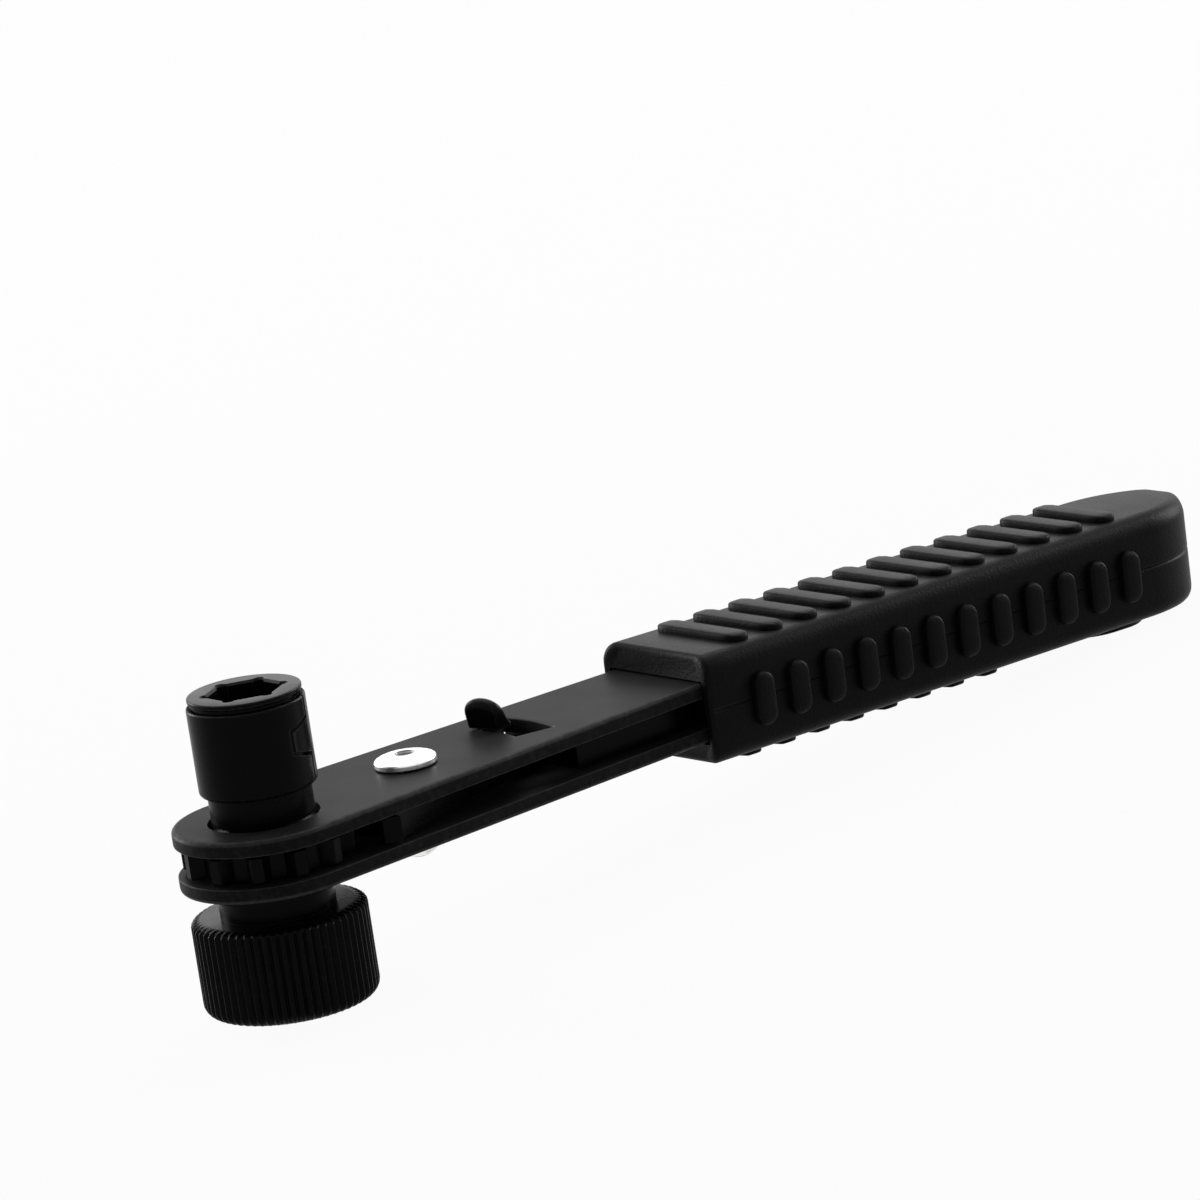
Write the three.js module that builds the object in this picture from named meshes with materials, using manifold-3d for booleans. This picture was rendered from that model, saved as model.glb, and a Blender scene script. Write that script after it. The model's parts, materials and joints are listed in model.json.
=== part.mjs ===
// A small reversible ratchet for hex bits. Two stamped plates carry a toothed wheel with a bit socket
// above and a thumbwheel below; a two-nosed pawl on a rivet is thrown from side to side by a thumb lever,
// and the plates run back into a ribbed rubber grip.
//
// Millimetres. The drive axis is Z, and the origin is where a bit's end seats in the socket.
// +X runs along the handle to the far end of the grip, and +Z comes out of the socket's mouth.

import * as THREE from 'three';
import { mergeVertices } from 'three/addons/utils/BufferGeometryUtils.js';
import Module from 'manifold-3d';

const wasm = await Module();
wasm.setup();

// Clearances
const runGap = 0.3; // round a piece that turns or swings
const endGap = 0.25; // between a moving piece's flat face and the plate beside it
const seatGap = 0.1; // between pieces that are pressed or clamped together
const pressGap = 0.15; // round a piece that is pushed into a hole

// Heights of the head
const socketDepth = 10;
const socketRise = 12.2; // the socket's rim above the upper plate
const plateThickness = 1.5;
const plateSpace = 3;
const plateTop = socketDepth - socketRise;
const plateUnder = plateTop - plateThickness;
const lowerOver = plateUnder - plateSpace;
const plateBottom = lowerOver - plateThickness;
const midPlane = (plateUnder + lowerOver) / 2;

// Plates
const headRadius = 8.75;
const plateEnd = 104; // the plates' far end, inside the grip
const tailHalfWidth = 4.4;
const tailRadius = 2;

// Ratchet wheel
const toothCount = 12;
const gearTip = 8.2;
const gearRoot = 6.9;
const toothTipWidth = 1.2;
const toothRootWidth = 2.2;
const journalRadius = 5.2;
const tenonFlats = 6; // hex tenon of the socket, across flats

// Bit socket
const hexFlats = 6.45; // for a bit shank of 6.35 across flats
const cornerRelief = 0.55; // radius of the round relief in each corner of the hex
const rimInset = 0.2; // how far the rim stands back from the sleeve's face
const rimHeight = 0.5;
const grooveHeight = 0.45;
const grooveDepth = 0.5;
const neckStep = 0.15; // how far the neck under the sleeve is turned down
const ringThickness = 0.25;
const ringWall = 0.55;
const ringOpening = 40; // degrees
const magnetRadius = 2.6;
const magnetHeight = 2;

// Rolled sleeve
const sleeveRadius = 5.6;
const sleeveWall = 0.5;
const sleeveGap = 0.05; // between the socket's body and the sleeve that is pressed on it
const sleeveFoot = 2.8; // the sleeve's lower edge above the upper plate
const sleeveCurl = 0.4; // how far the lower edge is rounded in
const seamAngle = -53; // degrees, seen from above
const seamWidth = 0.35;
const seamTab = 2.9; // how far the locking tab reaches round the sleeve
const seamTabRoot = 3.6; // the tab's height at its root
const seamTabTip = 2.1; // and at its tip
const seamTabMiddle = 5.25; // the tab's middle above the bit seat

// Thumbwheel
const wheelRadius = 8.35;
const wheelDrop = 9.6; // from the upper plate down to the knurl's upper edge
const wheelHeight = 8.6;
const wheelCrown = 0.6; // the crown's rise above the knurl
const wheelRound = 1.2; // rounding of the upper and lower edges
const bossRadius = 5.5;
const knurlCount = 60;
const knurlDepth = 0.3;
const wheelWeb = 1.9; // floor between the tenon's pocket and the screw's recess
const screwRecess = 2.2;
const screwHeadRadius = 2.8;
const screwHeadHeight = 1.7;
const screwRadius = 1.5;
const screwGrip = 4; // length of the screw inside the tenon
const screwSlot = 0.7;
const screwSlotLength = 3.6;
const screwBevel = 0.55;
const washerThickness = 0.5;
const washerRadius = 6.6;

// Pivot, pawl and lever
const pivotX = 17.1;
const rivetRadius = 1.5;
const rivetHead = 3;
const rivetHeadHeight = 1.2;
const rivetEdge = 0.5; // the head's upright side, below its dome
const rivetDimple = 0.9;
const dimpleDepth = 0.35;
const rivetFoot = 2.8;
const rivetFootHeight = 2.9;
const bushRadius = 3;
const pawlHub = 4.6;
const swing = 9.5; // degrees to either side of the middle
const noseAngle = 30; // degrees round the drive axis from the handle's middle line
const noseDepth = 0.95; // how far a nose reaches in between the teeth
const noseTipWidth = 0.9;
const noseRootWidth = 2.5;
const armReach = 9.6; // the arms' outer corners, from the pivot
const armSpread = 6.4;
const armCorner = 0.8;
const armBack = 5.5; // where the arms leave the hub
const tailNeck = 3.6; // the tail's half width at the hub
const tailReach = 15.6; // the pawl's tail, from the pivot
const tailSpread = 4.2;
const notchDepth = 0.55;
const stemSetBack = 2.5; // the lever's stem stands this far inside the tail's end
const stemLength = 1.2;
const stemWidth = 1.6;
const stemFar = tailReach - stemSetBack;
const stemNear = stemFar - stemLength;
const slotNearRoom = 0.4; // the slot in the upper plate runs past the stem, before and behind it
const slotFarRoom = 2.4;
const tabWidth = 4;
const tabHeight = 3.2;
const tabOverhang = 1.05; // the tab's near side before the stem
const tabNear = stemNear - tabOverhang;
const tabFar = stemFar + seatGap;
const tabPeak = 0.6; // the tab's highest place, behind its near side
const tabFoot = 0.4; // the ramp's height at its far end
const tabLean = 0.3; // how far the near side leans over towards the head
const tabDome = 1.1; // the crest's fall from its middle to its ends
const tabLift = 0.2; // gap between the tab and the plate

// Detent
const ballRadius = 0.8;
const boreGap = 0.2;
const detentLift = 0.15; // the drawn-back ball's clearance from the tail's crest
const springTurns = 6;
const springPitch = 0.9;
const springRadius = 0.6; // to the middle of the wire
const wireRadius = 0.15;
const wireSides = 5;
const stepsPerTurn = 8;
const leastCoilGap = 0.4;

// Handle
const spacerGap = 0.6; // between the pawl's tail and the spacer
const spacerInset = 2; // the spacer's edge inside the plates' edge
const handleRivetFirst = 10; // the front rivet behind the grip's front edge
const handleRivetLast = 7; // the rear rivet before the plates' far end
const handleRivetRadius = 1.5;
const handleRivetHead = 2.5;
const countersink = 1;

// Grip
const gripFront = 48;
const gripHollow = 1.3; // depth of the hollow front edge
const gripEnd = 118.2;
const gripHalfFront = 8;
const gripHalfBack = 7.2;
const gripRoundEnd = 9.5; // length of the rounded far end
const gripTop = 0.5;
const gripHeight = 10.85;
const gripRake = 1.5; // degrees that the grip drops towards its far end
const gripEdge = 1.6; // rounding of the grip's edges
const coreGap = 0.2; // the plates' clearance inside the grip
const ribCount = 12;
const underRibCount = 8;
const ribFirst = 54.8;
const ribPitch = 4.56;
const ribWidth = 2.6;
const ribRise = 0.75;
const ribInset = 1.75; // a bar's end inside the grip's side
const sideRibRise = 0.9;
const sideRibTop = -2.4;
const sideRibLength = 5.4;
const ribRoot = 1.2; // how deep a rib is rooted in the grip
const heelFront = 99; // a raised heel under the far end
const heelLength = 12;
const heelRise = 0.8;
const heelInset = 1.3;

const degree = Math.PI / 180;
const halfway = 1 - Math.SQRT1_2; // a quarter round's middle lies this share inside its two sides
const past = 1; // how far a cutting shape runs past the piece it cuts

// Solids

function solidOf(geometry) {
  const bare = geometry.clone();
  bare.deleteAttribute('normal');
  bare.deleteAttribute('uv');
  const merged = mergeVertices(bare, 1e-4);
  const corners = merged.index.array;
  const kept = [];
  for (let i = 0; i < corners.length; i += 3) {
    const [a, b, c] = corners.slice(i, i + 3);
    if (a !== b && b !== c && c !== a) kept.push(a, b, c);
  }
  const mesh = new wasm.Mesh({
    numProp: 3,
    vertProperties: new Float32Array(merged.attributes.position.array),
    triVerts: new Uint32Array(kept),
  });
  return new wasm.Manifold(mesh);
}

function geometryOf(solid) {
  const mesh = solid.getMesh();
  const geometry = new THREE.BufferGeometry();
  geometry.setAttribute('position', new THREE.BufferAttribute(mesh.vertProperties, 3));
  geometry.setIndex(new THREE.BufferAttribute(mesh.triVerts, 1));
  const faceted = geometry.toNonIndexed();
  faceted.computeVertexNormals();
  return faceted;
}

function cut(body, ...tools) {
  return geometryOf(tools.reduce((left, tool) => left.subtract(solidOf(tool)), solidOf(body)));
}

function join(first, ...others) {
  return geometryOf(others.reduce((sum, other) => sum.add(solidOf(other)), solidOf(first)));
}

function meet(first, second) {
  return geometryOf(solidOf(first).intersect(solidOf(second)));
}

// A flat outline raised from one height to another.
function prism(shape, low, high, curveSegments = 10) {
  const geometry = new THREE.ExtrudeGeometry(shape, {
    depth: high - low,
    bevelEnabled: false,
    curveSegments,
  });
  return geometry.translate(0, 0, low);
}

// A profile of [radius, height] points, listed upwards along its outside, turned round Z.
function turned(profile, segments = 40) {
  const points = profile.map(([radius, height]) => new THREE.Vector2(radius, height));
  return new THREE.LatheGeometry(points, segments).rotateX(Math.PI / 2);
}

// A round bar along Z, and a tube.
function bar(radius, low, high, segments = 40) {
  return turned([[0, low], [radius, low], [radius, high], [0, high]], segments);
}

function tube(inner, outer, low, high, segments = 40) {
  return turned([[inner, low], [outer, low], [outer, high], [inner, high], [inner, low]], segments);
}

function outline(points) {
  return new THREE.Shape(points.map(([x, y]) => new THREE.Vector2(x, y)));
}

function polar(radius, angle, x = 0, y = 0) {
  return [x + radius * Math.cos(angle), y + radius * Math.sin(angle)];
}

function rotated([x, y], angle) {
  const c = Math.cos(angle);
  const s = Math.sin(angle);
  return [x * c - y * s, x * s + y * c];
}

// A hexagon with two flats square to X.
function hexagon(flats) {
  const corner = flats / Math.sqrt(3);
  const points = [];
  for (let k = 0; k < 6; k++) points.push(polar(corner, (30 + 60 * k) * degree));
  return outline(points);
}

// A straight-sided bar with chamfered corners, along X, centred on the origin.
function pill(length, width) {
  const corner = width * halfway;
  const x = length / 2;
  const y = width / 2;
  return outline([
    [x - corner, -y], [x, corner - y], [x, y - corner], [x - corner, y],
    [corner - x, y], [-x, y - corner], [-x, corner - y], [corner - x, -y],
  ]);
}

function piece(name, geometry, material) {
  const mesh = new THREE.Mesh(geometry, material);
  mesh.name = name;
  return mesh;
}

// Materials

function finish(color, roughness, metalness) {
  return new THREE.MeshStandardMaterial({ color, roughness, metalness });
}

const plateBlack = finish(0x3a3a3b, 0.55, 0.6);
const steelBlack = finish(0x141414, 0.45, 0.7);
const rivetSteel = finish(0xd6d6d4, 0.3, 1);
const springSteel = finish(0x8c8c8a, 0.35, 1);
const rubberBlack = finish(0x121212, 0.8, 0);

// Plates

function plateHalf(x) {
  return headRadius - (headRadius - tailHalfWidth) * x / plateEnd;
}

function plateOutline() {
  const straightEnd = plateEnd - tailRadius;
  const shape = new THREE.Shape();
  shape.absarc(0, 0, headRadius, Math.PI / 2, 1.5 * Math.PI, false);
  shape.lineTo(straightEnd, -plateHalf(straightEnd));
  shape.absarc(straightEnd, tailRadius - plateHalf(straightEnd), tailRadius, -Math.PI / 2, 0, false);
  shape.absarc(straightEnd, plateHalf(straightEnd) - tailRadius, tailRadius, 0, Math.PI / 2, false);
  return shape;
}

function handleRivetPlaces() {
  return [gripFront + handleRivetFirst, plateEnd - handleRivetLast];
}

// A rivet with a sunk head in each plate; the hole for it is the same shape, larger all round.
function sunkRivet(x, gap) {
  const shank = handleRivetRadius + gap;
  const head = handleRivetHead + gap;
  const profile = [
    [0, plateBottom], [head, plateBottom], [shank, plateBottom + countersink],
    [shank, plateTop - countersink], [head, plateTop], [0, plateTop],
  ];
  return turned(profile, 20).translate(x, 0, 0);
}

function plate(low) {
  const high = low + plateThickness;
  const hub = bar(journalRadius + runGap, low - past, high + past, 48);
  const pivot = bar(rivetRadius + pressGap, low - past, high + past, 24).translate(pivotX, 0, 0);
  const holes = handleRivetPlaces().map((x) => sunkRivet(x, pressGap));
  return cut(prism(plateOutline(), low, high, 24), hub, pivot, ...holes);
}

// The lever's slot is a sector of a ring about the pivot, wide enough for the stem at both stops.
function leverSlot() {
  const reach = swing * degree + Math.asin((stemWidth / 2 + runGap) / stemNear);
  const shape = new THREE.Shape();
  shape.absarc(pivotX, 0, stemFar + slotFarRoom, -reach, reach, false);
  shape.absarc(pivotX, 0, stemNear - slotNearRoom, reach, -reach, true);
  return prism(shape, plateUnder - past, plateTop + past, 8);
}

function topPlate() {
  return piece('top_plate', cut(plate(plateUnder), leverSlot()), plateBlack);
}

function bottomPlate() {
  return piece('bottom_plate', plate(plateBottom), plateBlack);
}

// Ratchet wheel

function gearOutline() {
  const pitch = 2 * Math.PI / toothCount;
  const tip = toothTipWidth / 2 / gearTip;
  const root = toothRootWidth / 2 / gearRoot;
  const points = [];
  for (let k = 0; k < toothCount; k++) {
    const middle = (k + 0.5) * pitch;
    points.push(polar(gearRoot, middle - root), polar(gearTip, middle - tip));
    points.push(polar(gearTip, middle + tip), polar(gearRoot, middle + root));
  }
  return outline(points);
}

function ratchetGear() {
  const toothed = prism(gearOutline(), lowerOver + endGap, plateUnder - endGap);
  const journals = bar(journalRadius, plateBottom - seatGap, plateTop - seatGap, 48);
  const bore = prism(hexagon(tenonFlats + 2 * pressGap), plateBottom - past, plateTop + past);
  return piece('ratchet_gear', cut(join(toothed, journals), bore), steelBlack);
}

// Bit socket, its ring, magnet and sleeve

const rimRadius = sleeveRadius - rimInset;
const bodyRadius = sleeveRadius - sleeveWall - sleeveGap;
const neckRadius = bodyRadius - neckStep;
const grooveRadius = bodyRadius - grooveDepth;
const sleeveLow = plateTop + sleeveFoot;
const sleeveHigh = socketDepth - rimHeight - grooveHeight;
const wheelTop = plateTop - wheelDrop;
const wheelBottom = wheelTop - wheelHeight;
const washerTop = plateBottom - endGap;
const washerLow = washerTop - washerThickness;
const bossTop = washerLow - seatGap;
const pocketFloor = wheelBottom + screwRecess + wheelWeb;
const tenonEnd = pocketFloor + seatGap;

function bitSocket() {
  const grooveTop = socketDepth - rimHeight;
  const shoulder = sleeveLow + sleeveWall + seatGap;
  const blank = turned([
    [0, plateTop], [neckRadius, plateTop], [neckRadius, shoulder], [bodyRadius, shoulder + seatGap],
    [bodyRadius, sleeveHigh], [grooveRadius, sleeveHigh], [grooveRadius, grooveTop],
    [rimRadius, grooveTop], [rimRadius, socketDepth - seatGap], [rimRadius - seatGap, socketDepth],
    [0, socketDepth],
  ], 48);
  const tenon = prism(hexagon(tenonFlats), tenonEnd, plateTop + seatGap);
  const tools = [
    prism(hexagon(hexFlats), 0, socketDepth + past),
    bar(magnetRadius + pressGap, -magnetHeight - seatGap, past, 32),
    bar(screwRadius + pressGap, tenonEnd - past, tenonEnd + screwGrip + 2 * seatGap, 20),
  ];
  for (let k = 0; k < 6; k++) {
    const [x, y] = polar(hexFlats / Math.sqrt(3) - cornerRelief / 2, (30 + 60 * k) * degree);
    tools.push(bar(cornerRelief, 0, socketDepth + past, 10).translate(x, y, 0));
  }
  return piece('bit_socket', cut(join(blank, tenon), ...tools), steelBlack);
}

function retainingRing() {
  const half = ringOpening / 2 * degree;
  const inner = grooveRadius + seatGap;
  const shape = new THREE.Shape();
  shape.absarc(0, 0, inner + ringWall, half, 2 * Math.PI - half, false);
  shape.absarc(0, 0, inner, 2 * Math.PI - half, half, true);
  const middle = socketDepth - rimHeight - grooveHeight / 2;
  const ring = prism(shape, middle - ringThickness / 2, middle + ringThickness / 2, 20);
  return piece('bit_retaining_ring', ring.rotateZ(seamAngle * degree), steelBlack);
}

function bitMagnet() {
  return piece('bit_magnet', bar(magnetRadius, -magnetHeight, 0, 32), springSteel);
}

// One straight run of the seam, from one point to the next; points are [way round, height].
function seamRun([s0, z0], [s1, z1]) {
  const run = Math.hypot(s1 - s0, z1 - z0) + seamWidth;
  const blade = new THREE.BoxGeometry(2 * (sleeveWall + past / 2), seamWidth, run);
  blade.rotateX(-Math.atan2(s1 - s0, z1 - z0));
  blade.translate(sleeveRadius, 0, (z0 + z1) / 2);
  return blade.rotateZ((s0 + s1) / 2 / sleeveRadius + seamAngle * degree);
}

function socketSleeve() {
  const inner = sleeveRadius - sleeveWall;
  const shell = turned([
    [neckRadius + seatGap, sleeveLow], [sleeveRadius - sleeveCurl, sleeveLow],
    [sleeveRadius - sleeveCurl * halfway, sleeveLow + sleeveCurl * halfway],
    [sleeveRadius, sleeveLow + sleeveCurl],
    [sleeveRadius, sleeveHigh], [inner, sleeveHigh], [inner, sleeveLow + sleeveWall],
    [neckRadius + seatGap, sleeveLow + sleeveWall], [neckRadius + seatGap, sleeveLow],
  ], 48);
  const route = [
    [0, sleeveLow - past], [0, seamTabMiddle - seamTabRoot / 2], [-seamTab, seamTabMiddle - seamTabTip / 2],
    [-seamTab, seamTabMiddle + seamTabTip / 2], [0, seamTabMiddle + seamTabRoot / 2], [0, sleeveHigh + past],
  ];
  const runs = route.slice(1).map((point, k) => seamRun(route[k], point));
  return piece('socket_sleeve', cut(shell, ...runs), steelBlack);
}

// Thumbwheel, its washer and screw

// A turned body whose knurled rings carry straight ridges; a ring is [radius, height, share of the depth].
function knurled(rings, ridges, depth) {
  const sides = 2 * ridges;
  const positions = [];
  const faces = [];
  for (const [radius, height, share] of rings) {
    for (let k = 0; k < sides; k++) {
      const [x, y] = polar(radius - (k % 2) * depth * share, k * Math.PI / ridges);
      positions.push(x, y, height);
    }
  }
  for (let ring = 0; ring + 1 < rings.length; ring++) {
    for (let k = 0; k < sides; k++) {
      const a = ring * sides + k;
      const b = ring * sides + (k + 1) % sides;
      faces.push(a, b, b + sides, a, b + sides, a + sides);
    }
  }
  const low = positions.length / 3;
  positions.push(0, 0, rings[0][1], 0, 0, rings.at(-1)[1]);
  const last = (rings.length - 1) * sides;
  for (let k = 0; k < sides; k++) {
    const next = (k + 1) % sides;
    faces.push(low, next, k, low + 1, last + k, last + next);
  }
  const geometry = new THREE.BufferGeometry();
  geometry.setAttribute('position', new THREE.Float32BufferAttribute(positions, 3));
  geometry.setIndex(faces);
  return geometry;
}

function thumbwheel() {
  const flat = wheelRadius - wheelRound;
  const bend = wheelRadius - wheelRound * halfway;
  const body = knurled([
    [flat, wheelBottom, 0], [bend, wheelBottom + wheelRound * halfway, 0.5],
    [wheelRadius, wheelBottom + wheelRound, 1], [wheelRadius, wheelTop, 1],
    [bend, wheelTop + wheelCrown * (1 - halfway), 0.5], [flat, wheelTop + wheelCrown, 0],
  ], knurlCount, knurlDepth);
  const boss = bar(bossRadius, wheelTop, bossTop, 40);
  const pocket = prism(hexagon(tenonFlats + 2 * pressGap), pocketFloor, bossTop + past);
  const hole = bar(screwRadius + runGap, wheelBottom - past, pocketFloor + past, 20);
  const recess = bar(screwHeadRadius + runGap, wheelBottom - past, wheelBottom + screwRecess, 28);
  return piece('thumbwheel', cut(join(body, boss), pocket, hole, recess), steelBlack);
}

function thrustWasher() {
  const bore = tenonFlats / Math.sqrt(3) + runGap;
  return piece('thrust_washer', tube(bore, washerRadius, washerLow, washerTop, 40), steelBlack);
}

function thumbwheelScrew() {
  const seat = wheelBottom + screwRecess - seatGap;
  const head = seat - screwHeadHeight;
  const blank = turned([
    [0, head], [screwHeadRadius - screwBevel, head], [screwHeadRadius, head + screwBevel],
    [screwHeadRadius, seat], [screwRadius, seat], [screwRadius, tenonEnd + screwGrip],
    [0, tenonEnd + screwGrip],
  ], 24);
  const slots = [0, Math.PI / 2].map((angle) => {
    const slot = new THREE.BoxGeometry(screwSlotLength, screwSlot, screwHeadHeight);
    return slot.rotateZ(angle).translate(0, 0, head);
  });
  return piece('thumbwheel_screw', cut(blank, ...slots), springSteel);
}

// Pivot rivet and bush

// The quarter outline of a dome, from its edge to its middle.
function domed(radius, level, rise) {
  const steps = [0, 1, 2, 3];
  return steps.map((k) => polar(1, k * Math.PI / 6)).map(([c, q]) => [radius * c, level + rise * q]);
}

function pivotRivet() {
  const under = plateTop + seatGap;
  const over = plateBottom - seatGap;
  const top = under + rivetHeadHeight;
  const profile = [
    ...domed(rivetFoot, over, -rivetFootHeight).reverse(), [rivetRadius, over], [rivetRadius, under],
    [rivetHead, under], ...domed(rivetHead, under + rivetEdge, rivetHeadHeight - rivetEdge),
  ];
  const dimple = bar(rivetDimple, top - dimpleDepth, top + past, 20);
  return piece('pivot_rivet', cut(turned(profile, 32), dimple).translate(pivotX, 0, 0), rivetSteel);
}

function pivotBush() {
  const bush = tube(rivetRadius + pressGap, bushRadius, lowerOver + seatGap, plateUnder - seatGap, 32);
  return piece('pivot_bush', bush.translate(pivotX, 0, 0), springSteel);
}

// Pawl and lever, drawn about the pivot with the lever in the middle; their group throws them to a stop

const pawlLow = lowerOver + endGap;
const pawlHigh = plateUnder - endGap;

// A nose points at the drive axis when its own side is thrown in.
function pawlNose(side) {
  const inward = gearTip - noseDepth;
  const outward = gearTip + 2 * runGap;
  const corners = [
    [inward, -noseTipWidth / 2], [inward, noseTipWidth / 2],
    [outward, noseRootWidth / 2], [outward, -noseRootWidth / 2],
  ];
  const points = corners.map((corner) => {
    const [x, y] = rotated(corner, side * noseAngle * degree);
    return rotated([x - pivotX, y], -side * swing * degree);
  });
  return prism(outline(points.reverse()), pawlLow, pawlHigh);
}

// The room that the toothed wheel takes, seen from the pawl at one stop.
function gearRoom(side) {
  const [x, y] = rotated([-pivotX, 0], -side * swing * degree);
  return bar(gearTip + runGap, pawlLow - past, pawlHigh + past, 48).translate(x, y, 0);
}

function pawlOutline() {
  const half = Math.asin(tailSpread / tailReach);
  const flank = [
    [pawlHub, tailNeck], [0, pawlHub], [-armBack, armSpread - armCorner], [-armReach, armSpread],
    [-armReach - armCorner, armSpread - armCorner], [-armReach, armSpread / 2],
  ];
  const shape = new THREE.Shape();
  shape.absarc(0, 0, tailReach, -half, half, false);
  for (const [x, y] of flank) shape.lineTo(x, y);
  for (const [x, y] of flank.toReversed()) shape.lineTo(x, -y);
  return shape;
}

function pawl() {
  const blank = cut(prism(pawlOutline(), pawlLow, pawlHigh), gearRoom(1), gearRoom(-1));
  const notch = ballRadius + 2 * boreGap;
  const notches = [1, -1].map((side) => {
    const [x, y] = polar(tailReach - notchDepth + notch, side * swing * degree);
    return bar(notch, pawlLow - past, pawlHigh + past, 20).translate(x, y, 0);
  });
  const stemHole = new THREE.BoxGeometry(
    stemFar - stemNear + 2 * pressGap, stemWidth + 2 * pressGap, plateSpace,
  ).translate((stemNear + stemFar) / 2, 0, midPlane);
  const bore = bar(bushRadius + runGap, pawlLow - past, pawlHigh + past, 32);
  const whole = join(blank, pawlNose(1), pawlNose(-1));
  return piece('pawl', cut(whole, bore, stemHole, ...notches), steelBlack);
}

// The tab is a thumb ramp, steep at the side of the head and domed from one side to the other.
function leverTab(low, top) {
  const peak = tabNear + tabPeak;
  const side = new THREE.Shape();
  side.moveTo(tabNear + tabLean, low);
  side.lineTo(tabFar, low);
  side.lineTo(tabFar, low + tabFoot);
  side.lineTo(peak + tabPeak / 2, top - tabPeak / 4);
  side.quadraticCurveTo(peak + tabPeak / 4, top, peak, top);
  side.quadraticCurveTo(tabNear, top, tabNear, (low + top) / 2);
  const half = tabWidth / 2;
  const front = new THREE.Shape();
  front.moveTo(-half, low);
  front.lineTo(half, low);
  front.lineTo(half, top - tabDome);
  front.absellipse(0, top - tabDome, half, tabDome, 0, Math.PI, false);
  const ramp = prism(side, -tabWidth, tabWidth, 6).rotateX(Math.PI / 2);
  const dome = prism(front, tabNear - past, tabFar + past, 8).rotateX(Math.PI / 2).rotateZ(Math.PI / 2);
  return meet(ramp, dome);
}

function reversingLever() {
  const low = plateTop + tabLift;
  const tab = leverTab(low, plateTop + tabHeight);
  const stemLow = pawlLow + seatGap;
  const stemHigh = low + tabFoot;
  const stem = new THREE.BoxGeometry(stemFar - stemNear, stemWidth, stemHigh - stemLow);
  stem.translate((stemNear + stemFar) / 2, 0, (stemLow + stemHigh) / 2);
  return piece('reversing_lever', join(tab, stem), steelBlack);
}

function selector() {
  const group = new THREE.Group();
  group.position.x = pivotX;
  group.rotation.z = swing * degree;
  group.add(pawl(), reversingLever());
  return group;
}

// Detent, with the ball drawn back level with the crest of the pawl's tail

const ballX = pivotX + tailReach + detentLift + ballRadius;
const springFront = ballX + ballRadius + seatGap;
const springLength = springTurns * springPitch + 2 * wireRadius;
const boreEnd = springFront + springLength + seatGap;

function detentBall() {
  const ball = new THREE.SphereGeometry(ballRadius, 16, 10);
  return piece('detent_ball', ball.translate(ballX, 0, midPlane), springSteel);
}

class Helix extends THREE.Curve {
  getPoint(t, target = new THREE.Vector3()) {
    const angle = 2 * Math.PI * springTurns * t;
    const x = springFront + wireRadius + springTurns * springPitch * t;
    return target.set(x, springRadius * Math.cos(angle), midPlane + springRadius * Math.sin(angle));
  }
}

// The least gap between turns, measured from point to point along the wire's middle.
function coilGap(points) {
  let least = Infinity;
  for (let i = 0; i < points.length; i++) {
    for (let j = i + stepsPerTurn / 2; j < points.length; j++) {
      least = Math.min(least, points[i].distanceTo(points[j]) - 2 * wireRadius);
    }
  }
  return least;
}

function detentSpring() {
  const helix = new Helix();
  const steps = springTurns * stepsPerTurn;
  const corners = Array.from({ length: wireSides }, (_, k) => polar(wireRadius, 2 * Math.PI * k / wireSides));
  const wire = new THREE.ExtrudeGeometry(outline(corners), { steps, extrudePath: helix });
  const gap = coilGap(helix.getPoints(steps));
  console.log(`detent_spring: least gap between turns ${gap.toFixed(2)} mm, wanted over ${leastCoilGap} mm`);
  return piece('detent_spring', wire, springSteel);
}

// Handle spacer and rivets

function handleSpacer() {
  const front = pivotX + tailReach + spacerGap;
  const back = plateEnd - tailRadius;
  const shape = outline([
    [front, spacerInset - plateHalf(front)], [back, spacerInset - plateHalf(back)],
    [back, plateHalf(back) - spacerInset], [front, plateHalf(front) - spacerInset],
  ]);
  const block = prism(shape, lowerOver + seatGap, plateUnder - seatGap);
  const bore = bar(ballRadius + boreGap, front - past, boreEnd, 20);
  bore.rotateY(Math.PI / 2).translate(0, 0, midPlane);
  const holes = handleRivetPlaces().map((x) => sunkRivet(x, pressGap));
  return piece('handle_spacer', cut(block, bore, ...holes), steelBlack);
}

function handleRivets() {
  const names = ['handle_rivet_front', 'handle_rivet_rear'];
  return handleRivetPlaces().map((x, k) => piece(names[k], sunkRivet(x, 0), springSteel));
}

// Grip

const ribLast = ribFirst + (ribCount - 1) * ribPitch;

function gripHalf(x) {
  return gripHalfFront - (gripHalfFront - gripHalfBack) * (x - gripFront) / (ribLast - gripFront);
}

function gripOutline() {
  const bend = gripEnd - gripRoundEnd;
  const half = gripHalf(bend);
  const shape = new THREE.Shape();
  shape.moveTo(gripFront, -gripHalfFront);
  shape.lineTo(bend, -half);
  shape.absellipse(bend, 0, gripRoundEnd, half, -Math.PI / 2, Math.PI / 2, false);
  shape.lineTo(gripFront, gripHalfFront);
  shape.quadraticCurveTo(gripFront + 2 * gripHollow, 0, gripFront, -gripHalfFront);
  return shape;
}

function gripBody() {
  const geometry = new THREE.ExtrudeGeometry(gripOutline(), {
    depth: gripHeight - 2 * gripEdge,
    bevelThickness: gripEdge,
    bevelSize: gripEdge,
    bevelOffset: -gripEdge,
    bevelSegments: 3,
    curveSegments: 8,
  });
  return geometry.translate(0, 0, gripTop - gripHeight + gripEdge);
}

// The hollow that the plates and the spacer fill.
function gripCore() {
  const far = plateEnd + coreGap;
  const half = (x) => plateHalf(x) + coreGap;
  const near = gripFront - past;
  const shape = outline([[near, -half(near)], [far, -half(far)], [far, half(far)], [near, half(near)]]);
  return prism(shape, plateBottom - coreGap, plateTop + coreGap);
}

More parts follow.
